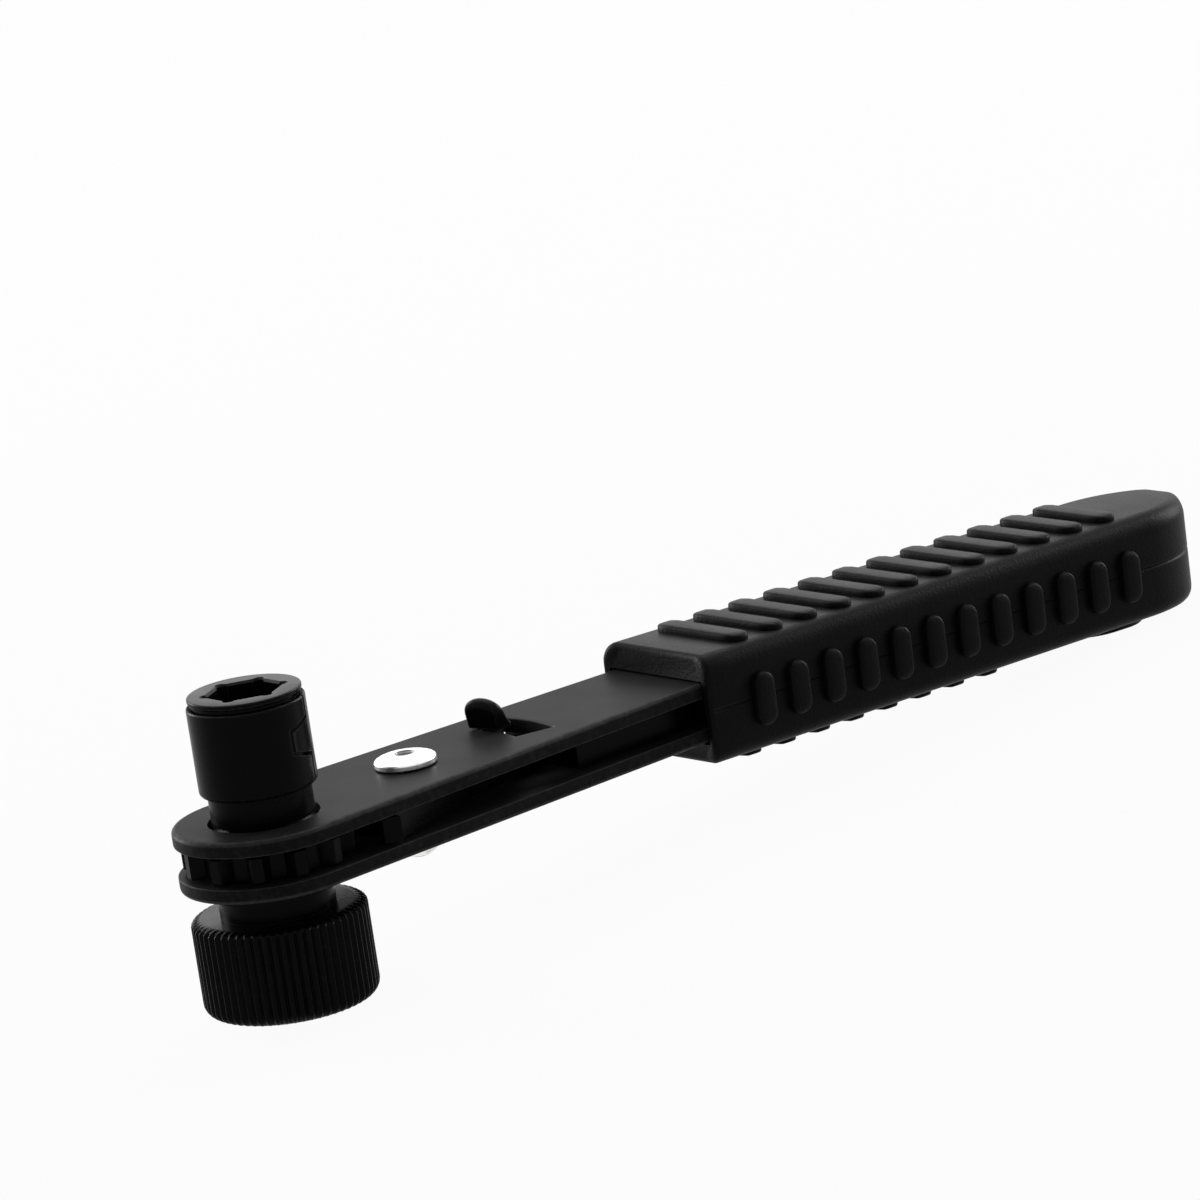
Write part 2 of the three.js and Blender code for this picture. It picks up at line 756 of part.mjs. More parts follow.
// Bars across the top and the underside, and upright bars along both sides.
function gripRibs() {
  const ribs = [];
  const gripBottom = gripTop - gripHeight;
  const upright = pill(sideRibLength, ribWidth);
  for (let k = 0; k < ribCount; k++) {
    const x = ribFirst + k * ribPitch;
    const half = gripHalf(x);
    const across = pill(2 * (half - ribInset), ribWidth);
    const heights = [[gripTop - ribRoot, gripTop + ribRise]];
    if (k < underRibCount) heights.push([gripBottom - ribRise, gripBottom + ribRoot]);
    for (const [low, high] of heights) {
      ribs.push(prism(across, low, high).rotateZ(Math.PI / 2).translate(x, 0, 0));
    }
    for (const side of [1, -1]) {
      const rib = prism(upright, half - ribRoot, half + sideRibRise);
      rib.rotateY(Math.PI / 2).rotateZ(side * Math.PI / 2);
      ribs.push(rib.translate(x, 0, sideRibTop - sideRibLength / 2));
    }
  }
  return ribs;
}

function gripHeel() {
  const gripBottom = gripTop - gripHeight;
  const middle = heelFront + heelLength / 2;
  const pad = pill(heelLength, 2 * (gripHalf(middle) - heelInset));
  return prism(pad, gripBottom - heelRise, gripBottom + ribRoot).translate(middle, 0, 0);
}

function grip() {
  const middle = gripTop - gripHeight / 2;
  const raked = join(gripBody(), gripHeel(), ...gripRibs()).translate(-gripFront, 0, -middle);
  raked.rotateY(gripRake * degree).translate(gripFront, 0, middle);
  return piece('grip', cut(raked, gripCore()), rubberBlack);
}

// The whole tool

const ratchet = new THREE.Group();
ratchet.add(
  topPlate(), bottomPlate(),
  ratchetGear(), bitSocket(), retainingRing(), bitMagnet(), socketSleeve(),
  thumbwheel(), thrustWasher(), thumbwheelScrew(),
  pivotRivet(), pivotBush(), selector(),
  detentBall(), detentSpring(),
  handleSpacer(), ...handleRivets(), grip(),
);

export default ratchet;
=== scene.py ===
"""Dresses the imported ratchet: rolled plates, hex socket, seamed sleeve, knurled wheel, lever and ribbed grip."""

import json
import math

import bmesh
import bpy
import numpy as np
from bpy.props import FloatProperty, FloatVectorProperty, IntProperty, PointerProperty
from bpy.types import Operator, Panel, PropertyGroup
from mathutils import Matrix, Vector


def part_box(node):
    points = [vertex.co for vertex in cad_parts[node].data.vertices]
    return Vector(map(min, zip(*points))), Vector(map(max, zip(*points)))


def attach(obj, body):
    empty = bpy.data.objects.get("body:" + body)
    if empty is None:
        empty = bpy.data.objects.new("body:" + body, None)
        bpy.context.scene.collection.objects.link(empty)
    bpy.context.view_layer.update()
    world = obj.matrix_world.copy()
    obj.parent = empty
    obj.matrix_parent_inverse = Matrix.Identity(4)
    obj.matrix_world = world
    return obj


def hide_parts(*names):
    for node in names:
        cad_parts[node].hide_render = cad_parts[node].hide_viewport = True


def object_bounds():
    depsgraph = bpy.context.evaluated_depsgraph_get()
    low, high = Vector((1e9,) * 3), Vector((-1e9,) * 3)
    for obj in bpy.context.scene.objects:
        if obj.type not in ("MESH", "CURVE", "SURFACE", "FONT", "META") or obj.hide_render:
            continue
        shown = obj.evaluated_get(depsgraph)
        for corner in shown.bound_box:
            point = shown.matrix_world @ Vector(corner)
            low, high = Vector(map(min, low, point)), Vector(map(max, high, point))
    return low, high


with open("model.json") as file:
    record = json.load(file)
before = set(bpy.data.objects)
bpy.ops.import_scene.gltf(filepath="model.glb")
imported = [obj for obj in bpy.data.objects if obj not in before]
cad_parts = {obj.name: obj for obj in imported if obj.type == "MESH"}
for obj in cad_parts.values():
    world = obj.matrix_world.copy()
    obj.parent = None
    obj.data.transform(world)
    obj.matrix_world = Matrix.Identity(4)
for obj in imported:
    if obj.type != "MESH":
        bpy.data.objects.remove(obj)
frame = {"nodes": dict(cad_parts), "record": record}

bl_info = {
    "name": "Reversible bit ratchet",
    "version": (1, 0, 0),
    "blender": (4, 5, 0),
    "location": "3D View > Sidebar > Ratchet",
    "description": "Builds the detailed plates, socket, wheel, lever and grip of a small ratchet",
    "category": "Object",
}

CAD_LOW, CAD_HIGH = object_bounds()
MM = 0.001
TURN = 2 * math.pi
QUARTER = math.pi / 2
FINE = 0.01 * MM  # points closer than this are one point
FULL_MARK_BEND = math.radians(30)  # an edge that bends as much as this gets the full mark, for wear and painted highlight
SQUARENESS = 0.4  # power that makes a rib's round section squarer
FLOOR_REACH = 3  # metres from the tool to the floor's edges
FILM_WIDTH = 36  # millimetres


# Properties

def length(name, millimetres, description):
    """A size that a user may change, given in millimetres and kept in metres."""
    return FloatProperty(
        name=name, description=description, default=millimetres * MM, unit="LENGTH", precision=5,
    )


def angle(name, degrees, description):
    return FloatProperty(
        name=name, description=description, default=math.radians(degrees), subtype="ANGLE",
    )


def colour(name, red, green, blue, description):
    return FloatVectorProperty(
        name=name, description=description, default=(red, green, blue), subtype="COLOR", min=0, max=1,
    )


def share(name, value, description):
    return FloatProperty(name=name, description=description, default=value, min=0, max=1, subtype="FACTOR")


class RATCHET_PG_plates(PropertyGroup):
    """Sizes of the two stamped plates."""

    roll: length("Rolled edge", 0.45, "Rounding of a plate's outer face where the stamping rolls over")
    burr: length("Sharp edge", 0.12, "Small rounding of a plate's inner face")
    hole_edge: length("Hole edge", 0.15, "Rounding round the holes")
    tail_width: length("Tail width", 8.8, "Width of the plates at their far end")
    tail_corner: length("Tail corner", 2, "Corner radius at the far end")
    hub_hole: length("Hub hole", 5.3, "Radius of the hole for the toothed wheel's journal")
    pivot_hole: length("Pivot hole", 1.65, "Radius of the hole for the pivot rivet")
    rivet_hole: length("Handle rivet hole", 1.65, "Radius of the holes for the handle rivets")
    rivet_sink: length("Countersink", 1, "Depth and growth of the handle rivets' countersinks")
    slot_inner: length("Slot inner radius", 11.5, "Inner arc of the lever's slot, from the pivot")
    slot_outer: length("Slot outer radius", 15.5, "Outer arc of the lever's slot, from the pivot")
    slot_reach: angle("Slot reach", 14.8, "Half the angle that the lever's slot takes")


class RATCHET_PG_socket(PropertyGroup):
    """Sizes of the bit socket and of the sleeve rolled round it."""

    hex_flats: length("Hex across flats", 6.45, "Hole for the bit's shank")
    corner_relief: length("Corner relief", 0.55, "Radius of the round relief in each corner of the hex")
    mouth: length("Mouth chamfer", 0.22, "Chamfer at the mouth of the hex")
    rim_radius: length("Rim radius", 5.4, "Outside of the socket's rim")
    rim_height: length("Rim height", 0.5, "Height of the rim above the groove")
    rim_round: length("Rim rounding", 0.16, "Rounding of the rim's edges")
    groove_radius: length("Groove radius", 4.55, "Floor of the groove for the retaining ring")
    body_radius: length("Body radius", 5.05, "Socket inside the sleeve")
    neck_radius: length("Neck radius", 4.9, "Neck between the sleeve and the plate")
    tenon_flats: length("Tenon across flats", 6, "Hex tenon that carries the toothed wheel and the thumbwheel")
    magnet_pocket: length("Magnet pocket", 2.75, "Radius of the magnet's pocket")
    pocket_depth: length("Pocket depth", 2.1, "Depth of the magnet's pocket below the bit seat")
    sleeve_wall: length("Sleeve wall", 0.5, "Thickness of the rolled sheet")
    sleeve_curl: length("Sleeve curl", 0.45, "Rounding of the sleeve's lower edge")
    sleeve_lip: length("Sleeve lip", 0.2, "Rounding of the sleeve's upper edge")
    seam_angle: angle("Seam angle", -53, "Where the seam runs, seen from above")
    seam_width: length("Seam width", 0.35, "Gap between the two edges of the sheet")
    seam_tab: length("Tongue reach", 2.9, "How far the locking tongue reaches round the sleeve")
    seam_root: length("Tongue root", 3.6, "Height of the tongue at its root")
    seam_tip: length("Tongue tip", 2.1, "Height of the tongue at its tip")
    seam_middle: length("Tongue middle", 5.25, "Middle of the tongue above the bit seat")


class RATCHET_PG_wheels(PropertyGroup):
    """Sizes of the thumbwheel and of the toothed wheel between the plates."""

    knurl_top: length("Knurl top", 9.6, "Upper edge of the knurl below the upper plate's face")
    crown: length("Crown", 0.6, "Rise of the wheel's upper face above the knurl")
    edge_round: length("Edge rounding", 1.2, "Rounding of the wheel's edges")
    boss_radius: length("Boss radius", 5.5, "Boss under the lower plate")
    ridges: IntProperty(name="Ridges", description="Ridges of the knurl", default=60, min=12, max=120)
    ridge_depth: length("Ridge depth", 0.36, "Depth of the knurl")
    recess_radius: length("Recess radius", 3.1, "Recess for the screw's head")
    recess_depth: length("Recess depth", 2.2, "Depth of the screw's recess")
    screw_hole: length("Screw hole", 1.8, "Radius of the screw's hole")
    teeth: IntProperty(name="Teeth", description="Teeth of the ratchet wheel", default=12, min=6, max=40)
    tooth_tip: length("Tooth tip radius", 8.2, "Radius over the teeth")
    tooth_root: length("Tooth root radius", 6.9, "Radius between the teeth")
    gear_bore: length("Gear bore", 3.65, "Radius of the hole for the socket's tenon, over its corners")
    tooth_foot: length("Tooth foot width", 2.2, "Width of a tooth at its foot")
    tooth_crest: length("Tooth crest width", 1.2, "Width of a tooth at its crest")
    tooth_edge: length("Tooth edge", 0.12, "Chamfer on a tooth's edges")
    tooth_face: length("Tooth face", 2.5, "Height of the teeth")
    journal: length("Journal radius", 5.2, "Journal that turns in the plates")
    journal_step: length("Journal step", 0.8, "How far the journal's upper end lies inside the hub hole")


class RATCHET_PG_pivot(PropertyGroup):
    """Sizes of the pivot rivet, the lever's tab and the detent's coil."""

    pivot: length("Pivot place", 17.1, "Pivot rivet's distance from the drive axis")
    head_radius: length("Head radius", 3, "Rivet's upper head")
    head_edge: length("Head edge", 0.5, "Upright side of the upper head below its dome")
    foot_radius: length("Foot radius", 2.8, "Rivet's lower head")
    shank_radius: length("Shank radius", 1.5, "Rivet's shank")
    head_gap: length("Head gap", 0.1, "Gap between the rivet's heads and the plates")
    dimple_radius: length("Dimple radius", 0.9, "Dimple in the middle of the upper head")
    dimple_depth: length("Dimple depth", 0.32, "Depth of the dimple")
    throw: angle("Throw", 9.5, "Angle of the lever at its stop")
    tab_near: length("Tab near side", 10.85, "Steep side of the tab, from the pivot")
    tab_far: length("Tab far side", 13.2, "Foot of the tab's ramp, from the pivot")
    tab_width: length("Tab width", 4, "Width of the tab")
    tab_dome: length("Tab dome", 1.1, "Fall of the crest from its middle to its ends")
    tab_lift: length("Tab lift", 0.2, "Gap between the tab and the plate")
    tab_foot: length("Tab foot", 0.4, "Height of the ramp at its far end")
    stem_near: length("Stem near side", 11.9, "Stem of the lever, from the pivot")
    stem_far: length("Stem far side", 13.1, "Far side of the stem, from the pivot")
    stem_width: length("Stem width", 1.6, "Width of the stem")
    coil_turns: IntProperty(name="Coil turns", description="Turns of the detent's spring", default=6, min=3, max=12)
    coil_radius: length("Coil radius", 0.6, "Detent spring, to the middle of its wire")
    wire_radius: length("Wire radius", 0.15, "Wire of the detent spring")


class RATCHET_PG_grip(PropertyGroup):
    """Sizes of the rubber grip and its ribs."""

    front: length("Front", 48, "Front edge of the grip, from the drive axis")
    end: length("End", 118.2, "Far end of the grip before it is raked")
    hollow: length("Front hollow", 1.3, "Depth of the hollow front edge")
    half_front: length("Half width, front", 8, "Half the grip's width at its front")
    half_back: length("Half width, back", 7.2, "Half the grip's width at the last rib")
    round_end: length("Rounded end", 9.5, "Length of the rounded far end")
    top: length("Top", 0.5, "Upper face of the grip above the bit seat")
    height: length("Height", 10.85, "Height of the grip without its ribs")
    rake: angle("Rake", 1.5, "Angle that the grip drops towards its far end")
    top_round: length("Upper rounding", 1.9, "Rounding of the upper edges")
    low_round: length("Lower rounding", 1.5, "Rounding of the lower edges")
    end_round: length("End rounding", 1.5, "Rounding of the far end seen from the side")
    front_round: length("Front rounding", 0.7, "Rounding round the front face")
    parting_depth: length("Parting line depth", 0.15, "Groove where the two halves of the mould met")
    parting_width: length("Parting line width", 0.34, "Width of that groove")
    core_gap: length("Core gap", 0.2, "Gap between the grip and the plates inside it")
    ribs: IntProperty(name="Ribs", description="Bars on the top and on each side", default=12, min=2, max=30)
    under_ribs: IntProperty(name="Lower ribs", description="Bars on the underside", default=8, min=2, max=30)
    rib_first: length("First rib", 54.8, "Middle of the first rib")
    rib_pitch: length("Rib pitch", 4.56, "Distance from rib to rib")
    rib_width: length("Rib width", 2.5, "Width of a rib")
    rib_rise: length("Rib rise", 0.75, "Height of a bar above the grip's top and below its underside")
    side_rise: length("Side rib rise", 0.9, "Height of a rib on the grip's sides")
    rib_root: length("Rib root", 0.6, "How deep a rib is rooted in the grip")
    rib_inset: length("Rib inset", 1.75, "A bar's end inside the grip's side")
    side_top: length("Side rib top", -2.4, "Upper end of the side ribs")
    side_length: length("Side rib length", 5.4, "Length of a side rib")
    heel_front: length("Heel front", 99, "Start of the raised heel under the far end")
    heel_length: length("Heel length", 12, "Length of the heel")
    heel_rise: length("Heel rise", 0.8, "Height of the heel")
    heel_inset: length("Heel inset", 1.3, "The heel's edge inside the grip's side")


class RATCHET_PG_finishes(PropertyGroup):
    """Colours of the finishes."""

    plate: colour("Plate", 0.01, 0.01, 0.0102, "Blackened stamped steel")
    # painted highlight: this edge colour is partly bare steel and partly stands in for light caught on the rolled edges
    plate_edge_and_highlight: colour("Plate edge", 0.12, 0.12, 0.12, "Steel showing along the plates' edges")
    black: colour("Black steel", 0.003, 0.003, 0.0031, "Black finish of socket, wheel and lever")
    # this edge colour is partly a thin rubbed finish and partly a painted highlight on edges and seams
    black_edge_and_highlight: colour("Black steel edge", 0.06, 0.06, 0.061, "Black finish rubbed thin along edges")
    rivet: colour("Rivet", 0.93, 0.93, 0.92, "Bright steel of the pivot rivet")
    spring: colour("Spring steel", 0.30, 0.30, 0.295, "Bare steel of springs, washers and screws")
    rubber: colour("Rubber", 0.005, 0.005, 0.0051, "Moulded rubber of the grip")
    # this bloom colour also lightens the grip's edges: partly handling wear, partly a painted highlight
    rubber_bloom_and_edge_highlight: colour("Rubber bloom", 0.014, 0.014, 0.014, "Dull bloom on the rubber")
    floor: colour("Floor", 0.5, 0.5, 0.5, "Pale floor, as it lights the tool")


class RATCHET_PG_stage(PropertyGroup):
    """Place of the camera and strength of the light."""

    aim: FloatVectorProperty(
        name="Aim", description="Point in the middle of the picture", subtype="TRANSLATION",
        default=(28.61 * MM, -18.40 * MM, 12.71 * MM),
    )
    azimuth: angle("Azimuth", -37.98, "Turn of the camera round the tool")
    elevation: angle("Elevation", 13.72, "Height of the camera as an angle")
    roll: angle("Roll", -8.44, "Tilt of the camera about its line of sight")
    distance: length("Distance", 650.3, "Camera to the aimed point")
    lens: FloatProperty(
        name="Lens", description="Focal length in millimetres", default=210, unit="CAMERA",
    )
    fill: share("Fill light", 0.08, "Strength of the light from all round")
    whiteness: share("Whiteness", 0.95, "How nearly white the camera sees the floor")
    overhead: FloatProperty(name="Overhead light", description="Power of the light above, in watts", default=4.3)
    flank: FloatProperty(name="Side light", description="Power of the light at the left, in watts", default=5)
    right: FloatProperty(name="Right light", description="Power of the light at the right, in watts", default=4)
    behind: FloatProperty(name="Back light", description="Power of the light behind the tool, in watts", default=1.5)


GROUPS = {
    "ratchet_plates": RATCHET_PG_plates,
    "ratchet_socket": RATCHET_PG_socket,
    "ratchet_wheels": RATCHET_PG_wheels,
    "ratchet_pivot": RATCHET_PG_pivot,
    "ratchet_grip": RATCHET_PG_grip,
    "ratchet_finishes": RATCHET_PG_finishes,
    "ratchet_stage": RATCHET_PG_stage,
}


# Node trees

class Value:
    """A socket of a node tree that takes part in sums: each operator adds a Math node."""

    def __init__(self, nodes, socket):
        self.nodes = nodes
        self.socket = socket

    def maths(self, operation, first, second):
        return self.nodes.add("ShaderNodeMath", {"operation": operation}, {0: first, 1: second})

    def __add__(self, other):
        return self.maths("ADD", self, other)

    def __radd__(self, other):
        return self.maths("ADD", other, self)

    def __sub__(self, other):
        return self.maths("SUBTRACT", self, other)

    def __rsub__(self, other):
        return self.maths("SUBTRACT", other, self)

    def __mul__(self, other):
        return self.maths("MULTIPLY", self, other)

    def __rmul__(self, other):
        return self.maths("MULTIPLY", other, self)


class Nodes:
    """A node tree that is filled node by node."""

    def __init__(self, tree):
        self.tree = tree

    def add(self, kind, settings=None, sockets=None, output=0):
        """Adds a node of a type, with its settings and then its sockets' values or links, and gives one output."""
        node = self.tree.nodes.new(kind)
        for key, value in (settings or {}).items():
            setattr(node, key, value)
        for key, value in (sockets or {}).items():
            self.feed(node.inputs[key], value)
        return Value(self, node.outputs[output]) if node.outputs else None

    def feed(self, socket, value):
        if isinstance(value, Value):
            self.tree.links.new(value.socket, socket)
        else:
            socket.default_value = value


class Finish(Nodes):
    """A material with a Principled shader, and the patterns that the ratchet's finishes share."""

    def __init__(self, name):
        self.material = bpy.data.materials.new(name)
        self.material.use_nodes = True
        super().__init__(self.material.node_tree)
        self.shader = self.tree.nodes["Principled BSDF"]
        self.place = self.add("ShaderNodeTexCoord", output="Object")

    def set(self, **sockets):
        for name, value in sockets.items():
            self.feed(self.shader.inputs[name.replace("_", " ").title().replace("Ior", "IOR")], value)

    def grain(self, size, detail=3, stretch=(1, 1, 1)):
        """Noise from 0 to 1 whose grains are about that many metres across."""
        place = self.add("ShaderNodeMapping", {}, {"Vector": self.place, "Scale": stretch})
        return self.add(
            "ShaderNodeTexNoise", {}, {"Vector": place, "Scale": 1 / size, "Detail": detail, "Roughness": 0.55},
        )

    def ramp(self, value, low, high):
        """0 below low and 1 above high, with a straight rise between."""
        return self.add("ShaderNodeMapRange", {"clamp": True}, {"Value": value, "From Min": low, "From Max": high})

    def worn_and_lit_edges(self):
        """How far a place lies on an edge, as marked on the mesh; the finishes lighten such edges, partly as wear and
        partly as a painted highlight.
        """
        return self.add("ShaderNodeAttribute", {"attribute_name": "wear_and_highlight"}, output="Fac")

    def mix(self, amount, first, second):
        sockets = {0: amount, 6: first, 7: second}
        return self.add("ShaderNodeMix", {"data_type": "RGBA"}, sockets, output=2)

    def bump(self, height, distance, strength=1):
        return self.add("ShaderNodeBump", {}, {"Height": height, "Distance": distance, "Strength": strength})


def opaque(shade):
    return (*shade, 1)


def blackened_plate(finish, shades):
    """Stamped steel, blackened: a fine even grain, cloudy patches and lighter edges, partly bare steel rubbed there and
    partly a painted highlight along the rolled edge.
    """
    grain = finish.grain(0.16 * MM)
    clouds = finish.grain(5 * MM, 4)
    # edge mask: partly rubbed steel, partly a painted highlight along the edges
    rub_and_highlight = finish.ramp(finish.worn_and_lit_edges() * (0.45 + 0.9 * finish.grain(0.7 * MM)), 0.25, 0.85)
    flat = finish.mix(finish.ramp(clouds + 0.5 * grain, 0.5, 1.0), opaque(shades.plate), opaque(
        [1.45 * channel for channel in shades.plate]))
    finish.set(
        base_color=finish.mix(0.75 * rub_and_highlight, flat, opaque(shades.plate_edge_and_highlight)),
        roughness=0.36 + 0.14 * clouds + 0.08 * grain - 0.1 * rub_and_highlight,
        normal=finish.bump(grain, 0.012 * MM),
        specular_ior_level=0.024,
    )


def black_steel(finish, shades):
    """Black oxide on turned steel: near black, satin, with turning marks and lighter edges, partly rubbed thin and
    partly a painted highlight.
    """
    grain = finish.grain(0.12 * MM)
    clouds = finish.grain(3 * MM, 4)
    turning = finish.grain(0.5 * MM, 2, (0.15, 0.15, 2.5))
    # lighter edges: partly rubbed finish, partly a painted highlight
    rub_and_highlight = finish.ramp(finish.worn_and_lit_edges() * (0.4 + 0.9 * finish.grain(0.6 * MM)), 0.3, 0.9)
    finish.set(
        base_color=finish.mix(0.7 * rub_and_highlight, opaque(shades.black), opaque(shades.black_edge_and_highlight)),
        roughness=0.20 + 0.10 * clouds + 0.05 * turning,
        normal=finish.bump(0.5 * grain + turning, 0.008 * MM),
        specular_ior_level=0.035,
    )


def bright_rivet(finish, shades):
    """Bright steel head with soft scuffs, matt patches and painted shade that darkens the hollow in its middle."""
    scuffs = finish.grain(0.35 * MM, 4)
    clouds = finish.grain(1.6 * MM, 3)
    pivot = bpy.context.scene.ratchet_pivot
    flat = finish.add("ShaderNodeVectorMath", {"operation": "MULTIPLY"}, {0: finish.place, 1: (1, 1, 0)})
    off_axis = finish.add(
        "ShaderNodeVectorMath", {"operation": "DISTANCE"}, {0: flat, 1: (pivot.pivot, 0, 0)}, output="Value",
    )
    # painted shade: the dimple in the middle is darkened and loses its metal; random matt patches are added outside it
    hollow = 1 - finish.ramp(off_axis + 0.5 * MM * clouds, pivot.dimple_radius, 1.8 * pivot.dimple_radius)
    dull_and_shaded = hollow + 0.3 * finish.ramp(clouds, 0.5, 0.7) * (1 - hollow)
    finish.set(
        base_color=finish.mix(dull_and_shaded, opaque(shades.rivet), opaque([0.1 * channel for channel in shades.rivet])),
        metallic=1 - dull_and_shaded,
        specular_ior_level=0.05,
        roughness=0.24 + 0.14 * scuffs,
        normal=finish.bump(scuffs, 0.012 * MM),
    )


def bare_steel(finish, shades):
    """Drawn and turned bare steel with streaks along the work."""
    streaks = finish.grain(0.3 * MM, 3, (0.2, 1, 1))
    clouds = finish.grain(1.5 * MM, 3)
    finish.set(
        base_color=finish.mix(finish.ramp(clouds + 0.4 * streaks, 0.4, 1.0), opaque(shades.spring), opaque(
            [0.6 * channel for channel in shades.spring])),
        metallic=1.0,
        roughness=0.30 + 0.18 * streaks,
        normal=finish.bump(streaks, 0.008 * MM),
    )


def moulded_rubber(finish, shades):
    """Matte moulded rubber: a fine pebble, a dulling bloom in patches and lighter edges, partly wear from handling and
    partly a painted highlight.
    """
    pebble = finish.add("ShaderNodeTexVoronoi", {"feature": "SMOOTH_F1"}, {
        "Vector": finish.place, "Scale": 1 / (0.28 * MM), "Smoothness": 0.6,
    }, output="Distance")
    clouds = finish.grain(7 * MM, 5)
    specks = finish.grain(0.5 * MM, 3)
    bloom = finish.ramp(clouds + 0.35 * specks, 0.55, 0.95)
    # lighter edges: partly handling wear, partly a painted highlight
    rub_and_highlight = finish.ramp(finish.worn_and_lit_edges() * (0.4 + 0.8 * specks), 0.2, 0.8)
    finish.set(
        base_color=finish.mix(0.35 * bloom + 0.35 * rub_and_highlight, opaque(shades.rubber), opaque(shades.rubber_bloom_and_edge_highlight)),
        roughness=0.32 + 0.14 * clouds + 0.06 * pebble,
        normal=finish.bump(pebble, 0.02 * MM),
        specular_ior_level=0.035,
    )


FINISHES = {
    "plate_black": blackened_plate,
    "steel_black": black_steel,
    "rivet_steel": bright_rivet,
    "spring_steel": bare_steel,
    "rubber_black": moulded_rubber,
}


def finish_of(slot):
    """The material of one of the record's slots, made when it is first asked for."""
    name = f"{slot}_finish"
    if name not in bpy.data.materials:
        FINISHES[slot](Finish(name), bpy.context.scene.ratchet_finishes)
    return bpy.data.materials[name]


# Meshes

def polar(radius, turn, x=0.0):
    return (x + radius * math.cos(turn), radius * math.sin(turn))


def arc(middle, radius, start, stop, steps):
    """Points of an arc in a plane, both ends included."""
    turns = [start + (stop - start) * k / steps for k in range(steps + 1)]
    return [(middle[0] + radius * math.cos(t), middle[1] + radius * math.sin(t)) for t in turns]


def held(profile, near):
    """A profile with two more points close to the ends of each long stretch, which keep its edges tight."""
    points = [profile[0]]
    for start, stop in zip(profile, profile[1:]):
        run = math.dist(start, stop)
        if run > 3 * near:
            for part in (near / run, 1 - near / run):
                points.append(tuple(a + (b - a) * part for a, b in zip(start, stop)))
        points.append(stop)
    return points


def level_ring(radius, height, count):
    """Points of a level ring round the drive axis; the radius may depend on the turn."""
    ring = []
    for k in range(count):
        turn = TURN * k / count
        reach = radius(turn) if callable(radius) else radius
        ring.append((*polar(reach, turn), height))
    return ring


def band(shell, rings):
    """Joins rings of equally many points with faces and gives the rows of points that it made."""
    rows = [[shell.verts.new(point) for point in ring] for ring in rings]
    for low, high in zip(rows, rows[1:]):
        for k, near in enumerate(low):
            shell.faces.new((low[k - 1], near, high[k], high[k - 1])).smooth = True
    return rows


def skin(rings):
    """A shell through rings of equally many points, with flat caps at both ends."""
    shell = bmesh.new()
    rows = band(shell, rings)
    shell.faces.new(reversed(rows[0]))
    shell.faces.new(rows[-1])
    return shell


def lathe(profile, count=96, near=0.12 * MM):
    """A profile of (radius, height) points turned round the drive axis, closed on itself or at the axis."""
    return skin([level_ring(radius, height, count) for radius, height in held(profile, near)])


def mark_wear_and_highlight(shell, most):
    """Marks each point with how sharply the surface bends there, from 0 to most; the finishes lighten marked edges,
    partly as wear and partly as a painted highlight.
    """
    wear_and_highlight = shell.verts.layers.float.new("wear_and_highlight")
    shell.normal_update()
    for point in shell.verts:
        bends = [edge.calc_face_angle(0) for edge in point.link_edges]
        point[wear_and_highlight] = most * min(1, max(bends, default=0) / FULL_MARK_BEND)


def close(shell, name, sharp=38, wear_and_highlight=1.0):
    """Merges a shell's doubles, turns its faces outwards, marks its edges for wear and painted highlight and makes it a
    mesh.
    """
    bmesh.ops.remove_doubles(shell, verts=shell.verts, dist=FINE)
    bmesh.ops.dissolve_degenerate(shell, edges=shell.edges, dist=FINE)
    bmesh.ops.recalc_face_normals(shell, faces=shell.faces)
    mark_wear_and_highlight(shell, wear_and_highlight)
    mesh = bpy.data.meshes.new(name)
    shell.to_mesh(mesh)
    shell.free()
    mesh.set_sharp_from_angle(angle=math.radians(sharp))
    return mesh


def together(name, *meshes):
    """Several meshes as one."""
    shell = bmesh.new()
    for mesh in meshes:
        shell.from_mesh(mesh)
    joined = bpy.data.meshes.new(name)
    shell.to_mesh(joined)
    shell.free()
    return joined


def placed(name, data):
    """A new object in the scene."""
    made = bpy.data.objects.new(name, data)
    bpy.context.scene.collection.objects.link(made)
    return made


def plain_mesh(made):
    """An object's mesh after its modifiers, as a plain mesh of its own; the object goes."""
    graph = bpy.context.evaluated_depsgraph_get()
    plain = bpy.data.meshes.new_from_object(made.evaluated_get(graph), preserve_all_data_layers=True, depsgraph=graph)
    made.modifiers.clear()
    bpy.data.objects.remove(made)
    return plain


def dress(name, mesh, body, slot, *nodes):
    """Puts a mesh in the scene as a piece that rides on a body and stands for CAD nodes."""
    made = placed(name, mesh)
    mesh.materials.clear()
    mesh.materials.append(finish_of(slot))
    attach(made, body)
    if nodes:
        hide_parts(*nodes)


def settled(name, mesh, finishing):
    """The plain mesh that modifiers, given as (type, settings), make of a mesh."""
    made = placed(name, mesh)
    for kind, settings in finishing:
        modifier = made.modifiers.new(kind.lower(), kind)
        for key, value in settings.items():
            setattr(modifier, key, value)
    return plain_mesh(made)


# Geometry node trees

def tree_with(name, inputs):
    """A geometry tree with named inputs, and a Nodes to fill it with."""
    tree = bpy.data.node_groups.new(name, "GeometryNodeTree")
    tree.interface.new_socket("Geometry", in_out="INPUT", socket_type="NodeSocketGeometry")
    for socket, kind in inputs.items():
        tree.interface.new_socket(socket, in_out="INPUT", socket_type=f"NodeSocket{kind}")
    tree.interface.new_socket("Geometry", in_out="OUTPUT", socket_type="NodeSocketGeometry")
    return tree, Nodes(tree)


def given(nodes, name):
    return nodes.add("NodeGroupInput", output=name)


